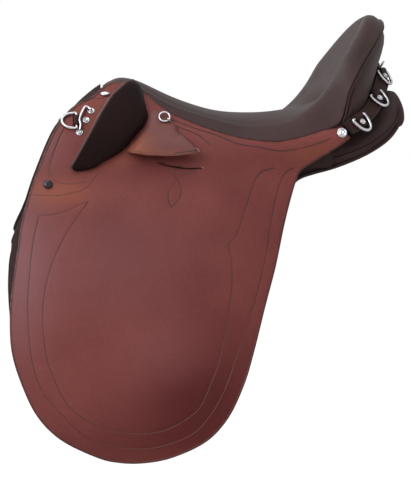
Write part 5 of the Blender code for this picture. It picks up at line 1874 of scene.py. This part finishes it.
    def bent(self, piece: bpy.types.Object, body: str, end: End) -> None:
        """Let a piece bend from the saddle to the swinging flap.

        Args:
            piece: the leather or its stitching.
            body: the swinging body.
            end: its side.
        """
        y = -float(SIDE.width(0.0, SIDE.bend)) * (1 if end is End.NEAR else -1)
        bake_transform(piece, "saddle", body, start=(0.0, y, self.bend_top), end=(0.0, y, self.bend_low))


def signed_area(loop: np.ndarray) -> float:
    """Area of a loop, positive where it turns left."""
    a, b = loop, np.roll(loop, -1, axis=0)
    return float((a[:, 0] * b[:, 1] - b[:, 0] * a[:, 1]).sum() / 2)


def swollen(shell: Shell, voxel: float, pressure: float, cap: float, frames: int = 20) -> Shell:
    """Body blown up as a stuffed cushion by a cloth simulation.

    Args:
        shell: the starting body, a little smaller than the cushion.
        voxel: size of the new mesh's faces.
        pressure: air pressure inside.
        cap: the furthest that a point may move.
        frames: frames that the simulation runs.

    Returns:
        The cushion's body.
    """
    obj = shell.piece("stuffing")
    bpy.context.view_layer.objects.active = obj
    obj.select_set(True)
    obj.data.remesh_voxel_size = voxel
    bpy.ops.object.voxel_remesh()
    rest = np.array([tuple(v.co) for v in obj.data.vertices])
    cloth = obj.modifiers.new("stuffed", "CLOTH")
    cloth.settings.use_pressure = True
    cloth.settings.uniform_pressure_force = pressure
    cloth.settings.tension_stiffness = 25
    cloth.settings.compression_stiffness = 25
    cloth.settings.effector_weights.gravity = 0
    cloth.point_cache.frame_end = frames
    for k in range(1, frames + 1):
        bpy.context.scene.frame_set(k)
    graph = bpy.context.evaluated_depsgraph_get()
    mesh = obj.evaluated_get(graph).to_mesh()
    moved = np.array([tuple(v.co) for v in mesh.vertices])
    shift = moved - rest
    length = np.linalg.norm(shift, axis=1, keepdims=True)
    rest = rest + shift * np.minimum(1, cap / np.maximum(length, 1e-9))
    bpy.context.scene.frame_set(1)
    faces = [tuple(p.vertices) for p in obj.data.polygons]
    bpy.data.objects.remove(obj)
    return faced_out(Shell(rest, faces))


@dataclass
class PaddingAssembly:
    """Stuffed panels under the tree and the knee pads in front of the rider's thighs."""
    pad_front: Table = ((-0.1608, 0.1385), (-0.1680, 0.1330), (-0.1772, 0.1243), (-0.1917, 0.1117),
                        (-0.2024, 0.0976), (-0.2119, 0.0837), (-0.2203, 0.0702), (-0.2290, 0.0562),
                        (-0.2392, 0.0408), (-0.2478, 0.0276))
    pad_rear: Table = ((-0.1515, 0.1385), (-0.1472, 0.1350), (-0.1460, 0.1295), (-0.1445, 0.1210),
                       (-0.1424, 0.1115), (-0.1401, 0.1000), (-0.1427, 0.0876), (-0.1550, 0.0720),
                       (-0.1765, 0.0485), (-0.2110, 0.0275))
    pad_swell: Sequence[float] = (0.44, 0.68, 0.86, 0.97, 1.0, 1.0, 0.98, 0.90, 0.72, 0.48)
    pad_section: Table = ((0.060, 0.02), (0.018, 0.22), (0.0, 0.55), (-0.006, 0.86), (0.012, 0.99),
                          (0.050, 1.03), (0.14, 1.01), (0.30, 0.95), (0.50, 0.84), (0.68, 0.70),
                          (0.84, 0.50), (0.94, 0.28), (1.0, 0.02))
    pad_ends: Table = ((0.34, 0.0045, 0.93), (0.66, 0.0085, 0.74), (0.88, 0.0112, 0.46),
                       (0.97, 0.0122, 0.22))
    pad_height: float = 0.026
    pad_cord: float = 0.0021
    pad_seam: int = 12
    pad_stuffing: Sequence[float] = (0.0028, 2.0, 0.0015)
    panel_top: Table = (
        (-0.212, 0.092), (-0.190, 0.104), (-0.150, 0.096), (-0.110, 0.080), (-0.070, 0.068),
        (-0.030, 0.061), (0.030, 0.060), (0.060, 0.062), (0.095, 0.068), (0.130, 0.078),
        (0.160, 0.092), (0.190, 0.114), (0.205, 0.1305), (0.217, 0.1420), (0.226, 0.1430))
    panel_hem: Table = (
        (-0.212, -0.020), (-0.190, -0.045), (-0.150, -0.060), (0.000, -0.060), (0.040, -0.020),
        (0.060, 0.000), (0.070, 0.0095), (0.092, 0.0170), (0.118, 0.0240), (0.140, 0.0320),
        (0.168, 0.0445), (0.190, 0.0568), (0.207, 0.0685), (0.220, 0.0800), (0.226, 0.0860))
    panel_width: Table = ((0.120, 1.0), (0.150, 0.98), (0.168, 0.93), (0.190, 0.83), (0.207, 0.72),
                          (0.226, 0.56))
    panel_stuffing: Table = ((-0.212, 0.35), (-0.190, 0.75), (-0.150, 1.0), (0.190, 1.0),
                             (0.226, 0.80))
    panel_places: Sequence[float] = (
        -0.212, -0.204, -0.186, -0.1487, -0.120, -0.075, -0.030, 0.015, 0.055, 0.088, 0.116, 0.145,
        0.168, 0.190, 0.208, 0.218, 0.226)
    panel_end: Table = ((0.0040, 0.96), (0.0074, 0.85), (0.0103, 0.69), (0.0123, 0.50), (0.0133, 0.30),
                        (0.0136, 0.10))
    panel_row: Table = ((0.182, 0.0765), (0.1585, 0.0615), (0.140, 0.0505), (0.124, 0.0415),
                        (0.104, 0.0335))
    panel_fold: Table = ((0.2285, 0.1100), (0.2255, 0.0970), (0.2135, 0.0835), (0.195, 0.0705),
                         (0.1715, 0.0575), (0.145, 0.0462), (0.119, 0.037))
    panel_depth: float = 0.0138
    panel_thickness: float = 0.036
    channel: float = 0.028
    foot: float = 0.025
    crown: float = 0.045
    crown_power: float = 2.5
    end_sink: float = 0.12
    hem_rings: Sequence[int] = (24, -5)
    hem_cord: Sequence[float] = (0.0024, 0.0010)
    fold_cord: float = 0.0015
    fold_sunk: float = 0.45
    panel_filling: Sequence[float] = (0.0050, 2.5, 0.0022)

    def pad_grids(self) -> tuple[np.ndarray, np.ndarray]:
        """Crest and base points of the near knee pad.

        Returns:
            The two grids.
        """
        fronts, rears = curve(self.pad_front, 5), curve(self.pad_rear, 5)
        swells = curve([(v,) for v in self.pad_swell], 5)[:, 0]
        section = curve(self.pad_section, 3)
        fronts, rears, swells = self.rounded_ends(fronts, rears, swells)
        crest, base = [], []
        for front, rear, swell in zip(fronts, rears, swells):
            places = front + (rear - front) * section[:, :1]
            x, z = places[:, 0], places[:, 1]
            out = SIDE.normals(x, z)
            foot = SIDE.points(x, z, -0.0006)
            crest.append(foot + out * (self.pad_height * section[:, 1:] * swell))
            base.append(foot)
        return np.array(crest), np.array(base)

    def rounded_ends(self, fronts: np.ndarray, rears: np.ndarray,
                     swells: np.ndarray) -> tuple[np.ndarray, np.ndarray, np.ndarray]:
        """Rows of the pad with more beyond both ends that close it round.

        Args:
            fronts: front places in the side view.
            rears: rear places in the side view.
            swells: share of the full height at each row.

        Returns:
            The three with the added rows.
        """
        for last, step in ((-1, 1.0), (0, 0.40)):
            front, rear, swell = fronts[last], rears[last], swells[last]
            run = (front + rear) - (fronts[3 if last == 0 else -4] + rears[3 if last == 0 else -4])
            run /= np.linalg.norm(run)
            middle = (front + rear) / 2
            rows = [(middle + (front - middle) * (1 - share**2) ** 0.5 + run * reach * step,
                     middle + (rear - middle) * (1 - share**2) ** 0.5 + run * reach * step, swell * fall)
                    for share, reach, fall in self.pad_ends]
            if last == 0:
                rows = rows[::-1]
            more = [np.array([row[k] for row in rows]) for k in range(3)]
            both = [(m, old) if last == 0 else (old, m) for m, old in zip(more, (fronts, rears, swells))]
            fronts, rears, swells = (np.concatenate(pair) for pair in both)
        return fronts, rears, swells

    def knee_pad(self) -> Shell:
        """Stuffed knee pad of the near side."""
        return swollen(slab(*self.pad_grids()), *self.pad_stuffing)

    def knee_pad_welt(self) -> Shell:
        """Covered cord along the pad's front seam and round its foot.

        Returns:
            The cord.
        """
        line = self.pad_grids()[0][:, self.pad_seam]
        count = np.arange(len(line))
        return tube(line, self.pad_cord * np.clip(np.minimum(count, count[::-1]) / 3, 0.35, 1), 8)

    def arch(self, x: float, depth: float, top: float, low: float, shrink: float) -> np.ndarray:
        """Points over the panel's crown from a height on the side to the channel.

        Args:
            x: place along the saddle.
            depth: depth inside the side's face.
            top: height of the crown.
            low: height at which the arch starts.
            shrink: share of the full width.

        Returns:
            Points of the near half.
        """
        def spot(z: float) -> tuple[float, float, float]:
            """Point of the arch at a height."""
            share = min(max((z - top + self.crown) / self.crown, 0.0), 1.0)
            cap = (1 - share**self.crown_power) ** (1 / self.crown_power)
            return x, -(float(SIDE.width(x, z)) - depth) * shrink * cap, z
        near, far = low, top
        for _ in range(30):
            middle = (near + far) / 2
            near, far = (middle, far) if -spot(middle)[1] > self.channel else (near, middle)
        turns = np.sin(np.pi / 2 * np.arange(13) / 12)
        return np.array([spot(low + (far - low) * t) for t in turns])

    def panel_rings(self) -> list[np.ndarray]:
        """Sections of the near panel along the saddle.

        Returns:
            The rings, front first.
        """
        rings = []
        for x in curve([(p,) for p in self.panel_places], 3)[:, 0]:
            top, hem = (float(table_values(t, x)) for t in (self.panel_top, self.panel_hem))
            shrink, share = (float(table_values(t, x)) for t in (self.panel_width, self.panel_stuffing))
            foot = max(self.foot, hem + 0.003)
            bend = SIDE.bend if hem < SIDE.bend - 0.004 else (2 * foot + hem) / 3
            lower = np.array([hem, (2 * hem + bend) / 3, (hem + 2 * bend) / 3, bend])
            outer = SIDE.points(np.full(4, x), lower, self.panel_depth) * (1, shrink, 1)
            outer = np.vstack((outer, self.arch(x, self.panel_depth, top, foot, shrink)))
            last = len(outer) - 1
            step = np.gradient(outer, axis=0)
            inward = np.column_stack((np.zeros(len(step)), step[:, 2], -step[:, 1]))
            inward /= np.linalg.norm(inward, axis=1, keepdims=True)
            edge = np.sin(math.pi * np.minimum(np.arange(last + 1) / last, 0.5))
            inner = outer + inward * (self.panel_thickness * share * (0.30 + 0.70 * edge))[:, None]
            inner[:, 1] = np.minimum(inner[:, 1], -self.channel)
            inner[-1] = (x, -self.channel - 0.002, outer[-1][2] - self.panel_thickness * share)
            rings.append(np.vstack((outer, inner[::-1])))
        last = rings[-1]
        middle = last.mean(0)
        for reach, share in self.panel_end:
            rings.append(middle + (last - middle) * share + (reach, 0.0, -self.end_sink * reach))
        return rings

    def panel(self) -> Shell:
        """Stuffed panel of the near side."""
        return swollen(loft(self.panel_rings()), *self.panel_filling)

    def panel_welt(self) -> Shell:
        """Covered cord along the panel's lower edge.

        Returns:
            The cord.
        """
        line = np.array([ring[0] for ring in self.panel_rings()][slice(*self.hem_rings)])
        line = curve(line + (0.0, -0.0004, 0.0), 3)
        full, thin = self.hem_cord
        radii = np.interp(np.arange(len(line)), (0, len(line) - 9, len(line) - 1), (full, full, thin))
        return tube(line, radii, 8)

    def build(self) -> None:
        """Make and dress the pads and panels of both sides."""
        pad, cord = self.knee_pad(), self.knee_pad_welt()
        panel = self.panel()
        rest = Rest(panel)
        fold = rest.cord(curve(self.panel_fold, 6), self.fold_cord, self.fold_sunk)
        welt = self.panel_welt().joined(fold)
        row = rest.stitches(curve(self.panel_row, 6))
        for end in End:
            side = end.value
            cushion = place_piece(pad.on(end), "knee_cushion_" + side, PAD, "saddle", ["knee_pad_" + side])
            soften(cushion)
            place_piece(cord.on(end), "knee_cord_" + side, WELT, "saddle")
            stuffed = place_piece(panel.on(end), "panel_cushion_" + side, UNDER, "saddle",
                                  ["panel_" + side])
            soften(stuffed)
            place_piece(welt.on(end), "panel_cord_" + side, UNDER, "saddle")
            place_piece(row.on(end), "panel_stitching_" + side, STRAP_THREAD, "saddle")


def soften(obj: bpy.types.Object) -> None:
    """Subdivide a piece smoothly."""
    soft = obj.modifiers.new("soft", "SUBSURF")
    soft.levels = soft.render_levels = 1


@dataclass(frozen=True)
class StudHead:
    """Place and form of a stud: cupped is a rivet with a ring and a sunk middle."""
    node: str
    place: Sequence[float]
    radius: float
    rise: float
    finish: MetalFinish
    stretch: float = 1.0
    cupped: bool = False
    swings: bool = False


@dataclass
class FittingAssembly:
    """Dees, rings, staples, studs, screws and the leather that holds them."""
    dee_wire: float = 0.0017
    dee_round: float = 0.0020
    dee_half: float = 0.0130
    dee_length: float = 0.0235
    chape_width: float = 0.014
    chape_leather: float = 0.0022
    tail_up: float = 0.0048
    tail_down: float = 0.0125
    front_tail: float = 0.0050
    clearance: float = 0.0006
    gap: float = 0.0003
    dees: Sequence[tuple[str, float, float]] = (("a", 0.100, 0.0012), ("b", 0.440, 0.0006),
                                               ("c", 0.735, 0.0004))
    dee_drop: float = 0.0065
    front_dee: Sequence[float] = (-0.2415, 0.0898)
    ring_place: Sequence[float] = (-0.1125, 0.0905)
    ring_radius: float = 0.0075
    ring_wire: float = 0.0014
    ring_staple: float = 0.0011
    heads: Sequence[StudHead] = (
        StudHead("tab_stud", (0.1260, 0.0735), 0.0075, 0.0038, CHROME, cupped=True),
        StudHead("flap_stud", (-0.2820, 0.0027), 0.0062, 0.0034, BLACK, swings=True),
        StudHead("pommel_nail", (-0.1995, 0.1282), 0.0041, 0.0030, CHROME, stretch=1.6))
    plain_head: Table = ((1.0, 0.0), (1.0, 0.30), (0.94, 0.62), (0.82, 0.82), (0.60, 0.95),
                         (0.35, 1.0), (0.12, 1.02))
    cupped_head: Table = ((1.0, 0.0), (1.0, 0.30), (0.94, 0.62), (0.82, 0.82), (0.70, 0.86),
                          (0.64, 0.62), (0.56, 0.58), (0.50, 0.74), (0.34, 0.86), (0.20, 0.72),
                          (0.10, 0.55))
    screw_head: Table = ((1.40, 0.0), (1.40, 0.0005), (1.32, 0.0011), (1.20, 0.0012), (1.06, 0.0009),
                         (1.00, 0.0001), (0.78, 0.0001), (0.74, 0.0014), (0.62, 0.0021),
                         (0.42, 0.0024), (0.34, 0.0012), (0.12, 0.0010))
    chape_screw: float = 0.0032
    chape_screw_drop: float = 0.0088
    staple_screw: float = 0.0036
    bow_start: float = 0.004
    loop_drop: float = 0.009
    loop_half: float = 0.005
    staple: Table = ((-0.2205, 0.1045, 0.0028), (-0.2246, 0.1080, 0.0030), (-0.2281, 0.1087, 0.0034),
                     (-0.2318, 0.1031, 0.0042), (-0.2350, 0.0960, 0.0050), (-0.2370, 0.0900, 0.0050),
                     (-0.2357, 0.0834, 0.0042), (-0.2370, 0.0764, 0.0028))
    staple_screws: Table = ((-0.2205, 0.1045), (-0.2279, 0.0914), (-0.2373, 0.0743))
    staple_wire: float = 0.0015
    staple_round: float = 0.0019
    front_half: float = 0.0120
    front_length: float = 0.0200

    def cantle_frame(self, seat: SeatAssembly, share: float) -> Frame:
        """Axes on the dee strap, a share of the way from its near end to its middle.

        Args:
            seat: the seat whose strap it is.
            share: 0 at the near end, 1 at the middle.

        Returns:
            The axes: along the strap, up across it and outward.
        """
        top, low = seat.strap_edges(8)
        lengths = np.concatenate(([0.0], np.cumsum(np.linalg.norm(np.diff(top, axis=0), axis=1))))
        wanted = (1 - share) * lengths[-1]

        def read(line: np.ndarray, place: float) -> Vector:
            """Point of a strap edge at a length along the upper one."""
            return Vector([float(np.interp(place, lengths, line[:, k])) for k in range(3)])
        spot = read(top, wanted)
        up = (spot - read(low, wanted)).normalized()
        out = (read(top, wanted + 0.004) - read(top, wanted - 0.004)).cross(up).normalized()
        if out.dot(spot - Vector(seat.tree_middle)) < 0:
            out = -out
        return Frame(spot, up.cross(out).normalized(), up, out)

    def dee_frame(self, seat: SeatAssembly, share: float, lift: float) -> Frame:
        """Axes of one dee on the strap.

        Args:
            seat: the seat whose strap it is.
            share: 0 at the near end, 1 at the middle.
            lift: distance further out.

        Returns:
            The axes.
        """
        base = self.cantle_frame(seat, share)
        spot = base.spot - base.across * self.dee_drop \
            + base.out * (self.dee_wire + self.clearance + lift)
        return Frame(spot, base.along, base.across, base.out)

    def front_frame(self) -> Frame:
        """Axes of the near front dee."""
        base = SIDE.frame(self.front_dee)
        return Frame(base.spot + base.out * (self.dee_wire + self.clearance), -base.across, base.along,
                     base.out)

    def dee(self, axes: Frame, half: float, length: float) -> Shell:
        """Round wire bent to a dee.

        Args:
            axes: its axes, the bar along the first.
            half: half of the bar.
            length: reach of the bow.

        Returns:
            The body.
        """
        points = [(-half, 0.0), (-half / 2, 0.0), (half / 2, 0.0), (half, 0.0)]
        for t in range(0, 181, 12):
            turn = math.radians(t)
            points.append((half * math.cos(turn),
                           -self.bow_start - (length - self.bow_start) * math.sin(turn)))
        path = curve([tuple(axes.at(a, b, 0.0)) for a, b in points], 2, closed=True)
        return tube(path, self.dee_round, 12, closed=True)

    def chape(self, axes: Frame, tail: float) -> Shell:
        """Leather looped over a dee's bar with both ends sewn down.

        Args:
            axes: the dee's axes.
            tail: reach of the end inside the dee.

        Returns:
            The body.
        """
        wire = self.dee_wire
        inner = wire + 0.0005
        outer = inner + self.chape_leather
        floor = -(wire + self.gap)
        turns = [math.radians(t) for t in range(0, 181, 12)]
        over = [(outer * math.cos(t), outer * math.sin(t)) for t in turns]
        under = [(inner * math.cos(t), inner * math.sin(t)) for t in turns[::-1]]
        top = floor + self.chape_leather
        profile = [(self.tail_up, floor), (self.tail_up, top), (outer, top)] + over[1:-1]
        profile += [(-outer, top), (-tail, top), (-tail, floor), (-inner, floor)]
        profile += under[1:-1] + [(inner, floor)]
        low = axes.lifted(-(self.clearance - 2 * self.gap))
        half = self.chape_width / 2
        return loft([[low.at(a, b, c) for b, c in profile] for a in (-half, half)])

    def screw(self, axes: Frame, radius: float) -> Shell:
        """Round screw on a cupped washer."""
        return self.turned(axes, radius, 1.0, self.screw_head, 20)

    def stud(self, head: StudHead) -> Shell:
        """Stud of the near side.

        Args:
            head: its place and form.

        Returns:
            The body.
        """
        axes = SIDE.frame(head.place).lifted(self.gap)
        form = [(share, head.rise * lift)
                for share, lift in (self.cupped_head if head.cupped else self.plain_head)]
        return self.turned(axes, head.radius, head.stretch, form, 28)

    @staticmethod
    def turned(axes: Frame, radius: float, stretch: float, form: Table, sides: int) -> Shell:
        """Round body turned from a form.

        Args:
            axes: where it sits.
            radius: half of its height.
            stretch: width for its height.
            form: share of the radius and distance outward of each ring.
            sides: faces round it.

        Returns:
            The body.
        """
        turns = np.linspace(0, 2 * math.pi, sides, endpoint=False)
        return loft([[axes.at(radius * share * stretch * math.cos(t), radius * share * math.sin(t), rise)
                      for t in turns] for share, rise in form])

    def ring_frame(self, flaps: FlapAssembly) -> Frame:
        """Axes of the near skirt's ring.

        Args:
            flaps: the flaps whose skirt it hangs on.

        Returns:
            The axes.
        """
        z = self.ring_place[1]
        base = SIDE.frame(self.ring_place, flaps.rise(z))
        toward = (base.across - base.along).normalized()
        spot = base.spot + base.out * (self.ring_wire + 2 * self.clearance)
        return Frame(spot, (-toward).cross(base.out), -toward, base.out)

    def skirt_ring(self, axes: Frame) -> Shell:
        """Small round ring that hangs in the skirt's staple.

        Args:
            axes: the ring's axes.

        Returns:
            The body.
        """
        path = [tuple(axes.at(self.ring_radius * math.sin(t), -self.ring_radius * (1 - math.cos(t)), 0.0))
                for t in np.linspace(0, 2 * math.pi, 36, endpoint=False)]
        return tube(np.array(path), self.ring_wire, 10, closed=True)

    def skirt_staple(self, axes: Frame) -> Shell:
        """Small staple over the ring.

        Args:
            axes: the ring's axes.

        Returns:
            The body.
        """
        reach = self.ring_wire + self.gap + self.ring_staple
        points = [(-reach, -self.ring_wire), (-reach, 0.0)]
        points += [(-reach * math.cos(math.radians(t)), reach * math.sin(math.radians(t)))
                   for t in range(20, 161, 20)]
        points += [(reach, 0.0), (reach, -self.ring_wire)]
        return tube(np.array([tuple(axes.at(0.0, b, c)) for b, c in points]), self.ring_staple, 10)

    def front_staple(self) -> Shell:
        """Bent wire with a screw at each end and in its middle, ahead of the knee pad.

        Returns:
            The body.
        """
        spots = []
        for x, z, height in curve(self.staple, 6):
            spots.append(tuple(SIDE.frame((x, z)).at(0, 0, height)))
        body = tube(np.array(spots), self.staple_round, 10)
        for place in self.staple_screws:
            body = body.joined(self.screw(SIDE.frame(place), self.staple_screw))
        return body

    def crupper_loop(self, seat: SeatAssembly) -> Shell:
        """Small fixed loop at the middle of the cantle.

        Args:
            seat: the seat whose strap it is on.

        Returns:
            The body.
        """
        base = self.cantle_frame(seat, 1.0)
        spot = base.spot - base.across * self.loop_drop + base.out * (self.staple_wire + self.clearance)
        rise = (base.out * 0.8 + base.across * 0.6).normalized()
        points = [(-self.loop_half, 0.0), (0.0, 0.0), (self.loop_half, 0.0)]
        points += [(0.0055 * math.cos(math.radians(t)), 0.004 + 0.004 * math.sin(math.radians(t)))
                   for t in range(0, 181, 20)]
        path = curve([tuple(spot + base.along * a + rise * b) for a, b in points], 2, closed=True)
        return tube(path, self.staple_wire, 10, closed=True)

    def build(self, seat: SeatAssembly, flaps: FlapAssembly) -> None:
        """Make and dress the fittings of both sides.

        Args:
            seat: the seat.
            flaps: the flaps.
        """
        place_piece(self.crupper_loop(seat), "crupper_loop_wire", CHROME, "saddle", ["crupper_loop"])
        sets = [("cantle_dee_" + label, "cantle_chape_" + label, self.dee_frame(seat, share, lift))
                for label, share, lift in self.dees]
        sets.append(("front_dee", "front_chape", self.front_frame()))
        ring_axes = self.ring_frame(flaps)
        for end in End:
            side = end.value
            for dee, chape, axes in sets:
                front = chape == "front_chape"
                wire = self.dee(axes, self.front_half, self.front_length) if front else \
                    self.dee(axes, self.dee_half, self.dee_length)
                place_piece(wire.on(end), "%s_wire_%s" % (dee, side), CHROME,
                            "%s_%s" % (dee, side), ["%s_%s" % (dee, side)])
                tail = self.front_tail if front else self.tail_down
                hide = place_piece(self.chape(axes, tail).on(end), "%s_leather_%s" % (chape, side),
                                   STRAP, "saddle", ["%s_%s" % (chape, side)])
                rounded(hide, 0.0005)
                if front:
                    continue
                low = Frame(axes.at(0, -self.chape_screw_drop,
                                    self.chape_leather - self.dee_wire - self.gap),
                            axes.along, axes.across, axes.out)
                place_piece(self.screw(low, self.chape_screw).on(end), "%s_screw_%s" % (chape, side),
                            CHROME, "saddle")
            place_piece(self.skirt_ring(ring_axes).on(end), "skirt_ring_wire_" + side, CHROME,
                        "skirt_ring_" + side, ["skirt_ring_" + side])
            place_piece(self.skirt_staple(ring_axes).on(end), "skirt_staple_wire_" + side, CHROME, "saddle",
                        ["skirt_staple_" + side])
            place_piece(self.front_staple().on(end), "front_staple_wire_" + side, CHROME, "saddle",
                        ["front_staple_" + side])
            for head in self.heads:
                place_piece(self.stud(head).on(end), "%s_head_%s" % (head.node, side), head.finish,
                            "flap_" + side if head.swings else "saddle", ["%s_%s" % (head.node, side)])


@dataclass
class TreeAssembly:
    """Tree, stirrup bars and webbing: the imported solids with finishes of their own."""
    covered: Sequence[str] = ("tree_head", "tree_cantle", "tree_bar_near", "tree_bar_off")
    steel: Sequence[str] = ("stirrup_bar_near", "stirrup_bar_off", "stirrup_catch_near",
                            "stirrup_catch_off")
    webbing: Sequence[str] = ("seat_webbing",)
    leather: Sequence[str] = ("pommel_facing",)

    def build(self) -> None:
        """Dress the solids that stay."""
        for names, finish in ((self.covered, COVER), (self.steel, STEEL), (self.webbing, WEBBING),
                              (self.leather, DARK)):
            for name in names:
                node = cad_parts[name]
                for slot in node.material_slots:
                    slot.material = finish.material()
                log.info("%s dressed as %s", name, finish.name)


@dataclass
class Studio:
    """Floor, light and the camera at the photograph's angle."""
    azimuth: float = -6.5
    elevation: float = 4.0
    distance: float = 2.300
    target: Sequence[float] = (-0.049, 0.0, -0.085)
    lens: float = 116.2
    shift: float = 0.5 / 480
    floor_height: float = -0.3756
    floor_half: float = 6.0
    lamps: Sequence[tuple[str, Sequence[float], float, float]] = (
        ("key_lamp", (-1.45, -1.25, 1.00), 1.2, 28.5), ("fill_lamp", (1.9, -1.6, 0.7), 1.8, 6.0),
        ("top_lamp", (-0.6, -0.5, 2.3), 1.8, 22.0), ("rear_lamp", (-1.7, 1.9, 1.2), 1.2, 22.0))

    def camera(self) -> None:
        """Camera at the photograph's viewing angle."""
        a, e = math.radians(self.azimuth), math.radians(self.elevation)
        away = Vector((math.sin(a) * math.cos(e), -math.cos(a) * math.cos(e), math.sin(e)))
        data = bpy.data.cameras.new("view")
        data.lens = self.lens
        data.shift_x = self.shift
        data.clip_end = 50
        obj = bpy.data.objects.new("view", data)
        obj.location = Vector(self.target) + away * self.distance
        obj.rotation_euler = away.to_track_quat("Z", "Y").to_euler()
        bpy.context.collection.objects.link(obj)
        bpy.context.scene.camera = obj

    def lamp(self, name: str, spot: Sequence[float], size: float, power: float) -> None:
        """One soft square lamp that faces the saddle.

        Args:
            name: its name.
            spot: where it is.
            size: length of its sides.
            power: its watts.
        """
        data = bpy.data.lights.new(name, "AREA")
        data.size = size
        data.energy = power
        obj = bpy.data.objects.new(name, data)
        obj.location = spot
        obj.rotation_euler = (Vector(spot) - Vector(self.target)).to_track_quat("Z", "Y").to_euler()
        bpy.context.collection.objects.link(obj)

    def floor(self) -> None:
        """Pale floor that keeps the saddle's shadow and reads as white to the camera."""
        half, z = self.floor_half, self.floor_height
        mesh = bpy.data.meshes.new("floor")
        mesh.from_pydata([(-half, -half, z), (half, -half, z), (half, half, z), (-half, half, z)], [],
                         [(0, 1, 2, 3)])
        obj = bpy.data.objects.new("floor", mesh)
        bpy.context.collection.objects.link(obj)
        material = bpy.data.materials.new("floor_paper")
        material.use_nodes = True
        tree = material.node_tree
        tree.nodes.clear()
        add = adder(tree)
        place = add("ShaderNodeTexCoord").outputs["Object"]
        paper = add("ShaderNodeTexNoise", Vector=place, Scale=4.0)
        tone = add("ShaderNodeMixRGB", None, paper.outputs[0], (0.86, 0.86, 0.86), (0.88, 0.88, 0.88))
        lit = add("ShaderNodeBsdfDiffuse", Color=tone.outputs[0])
        glow = add("ShaderNodeEmission", Color=(1, 1, 1), Strength=1.06)
        seen = add("ShaderNodeLightPath").outputs["Is Camera Ray"]
        part = add("ShaderNodeMath", {"operation": "MULTIPLY"}, seen, 0.93)
        mix = add("ShaderNodeMixShader", None, part.outputs[0], lit.outputs[0], glow.outputs[0])
        add("ShaderNodeOutputMaterial", None, mix.outputs[0])
        mesh.materials.append(material)

    def world(self) -> None:
        """Plain grey surroundings that read as white to the camera and in metal."""
        world = bpy.data.worlds.new("studio")
        bpy.context.scene.world = world
        world.use_nodes = True
        tree = world.node_tree
        tree.nodes.clear()
        add = adder(tree)
        path = add("ShaderNodeLightPath")
        way = add("ShaderNodeSeparateXYZ", Vector=add("ShaderNodeTexCoord").outputs["Generated"])
        behind = add("ShaderNodeMapRange", Value=way.outputs[1], To_Min=1.0, To_Max=0.45)
        gloss = add("ShaderNodeMapRange", Value=path.outputs["Is Glossy Ray"], To_Min=0.36,
                    To_Max=behind.outputs[0])
        strength = add("ShaderNodeMapRange", Value=path.outputs["Is Camera Ray"], To_Min=gloss.outputs[0])
        back = add("ShaderNodeBackground", Color=(1, 1, 1), Strength=strength.outputs[0])
        add("ShaderNodeOutputWorld", None, back.outputs[0])

    def build(self) -> None:
        """Set up the whole studio."""
        self.camera()
        self.floor()
        self.world()
        for name, spot, size, power in self.lamps:
            self.lamp(name, spot, size, power)
        bpy.context.scene.view_settings.view_transform = "Standard"


def main() -> None:
    """Build the saddle's looks in order."""
    logging.basicConfig(level=logging.INFO, format="%(name)s %(message)s")
    bpy.context.view_layer.update()
    seat, flaps = SeatAssembly(), FlapAssembly()
    Studio().build()
    TreeAssembly().build()
    seat.build()
    flaps.build(seat)
    PaddingAssembly().build()
    FittingAssembly().build(seat, flaps)
    bpy.context.view_layer.update()


if __name__ == "__main__":
    main()
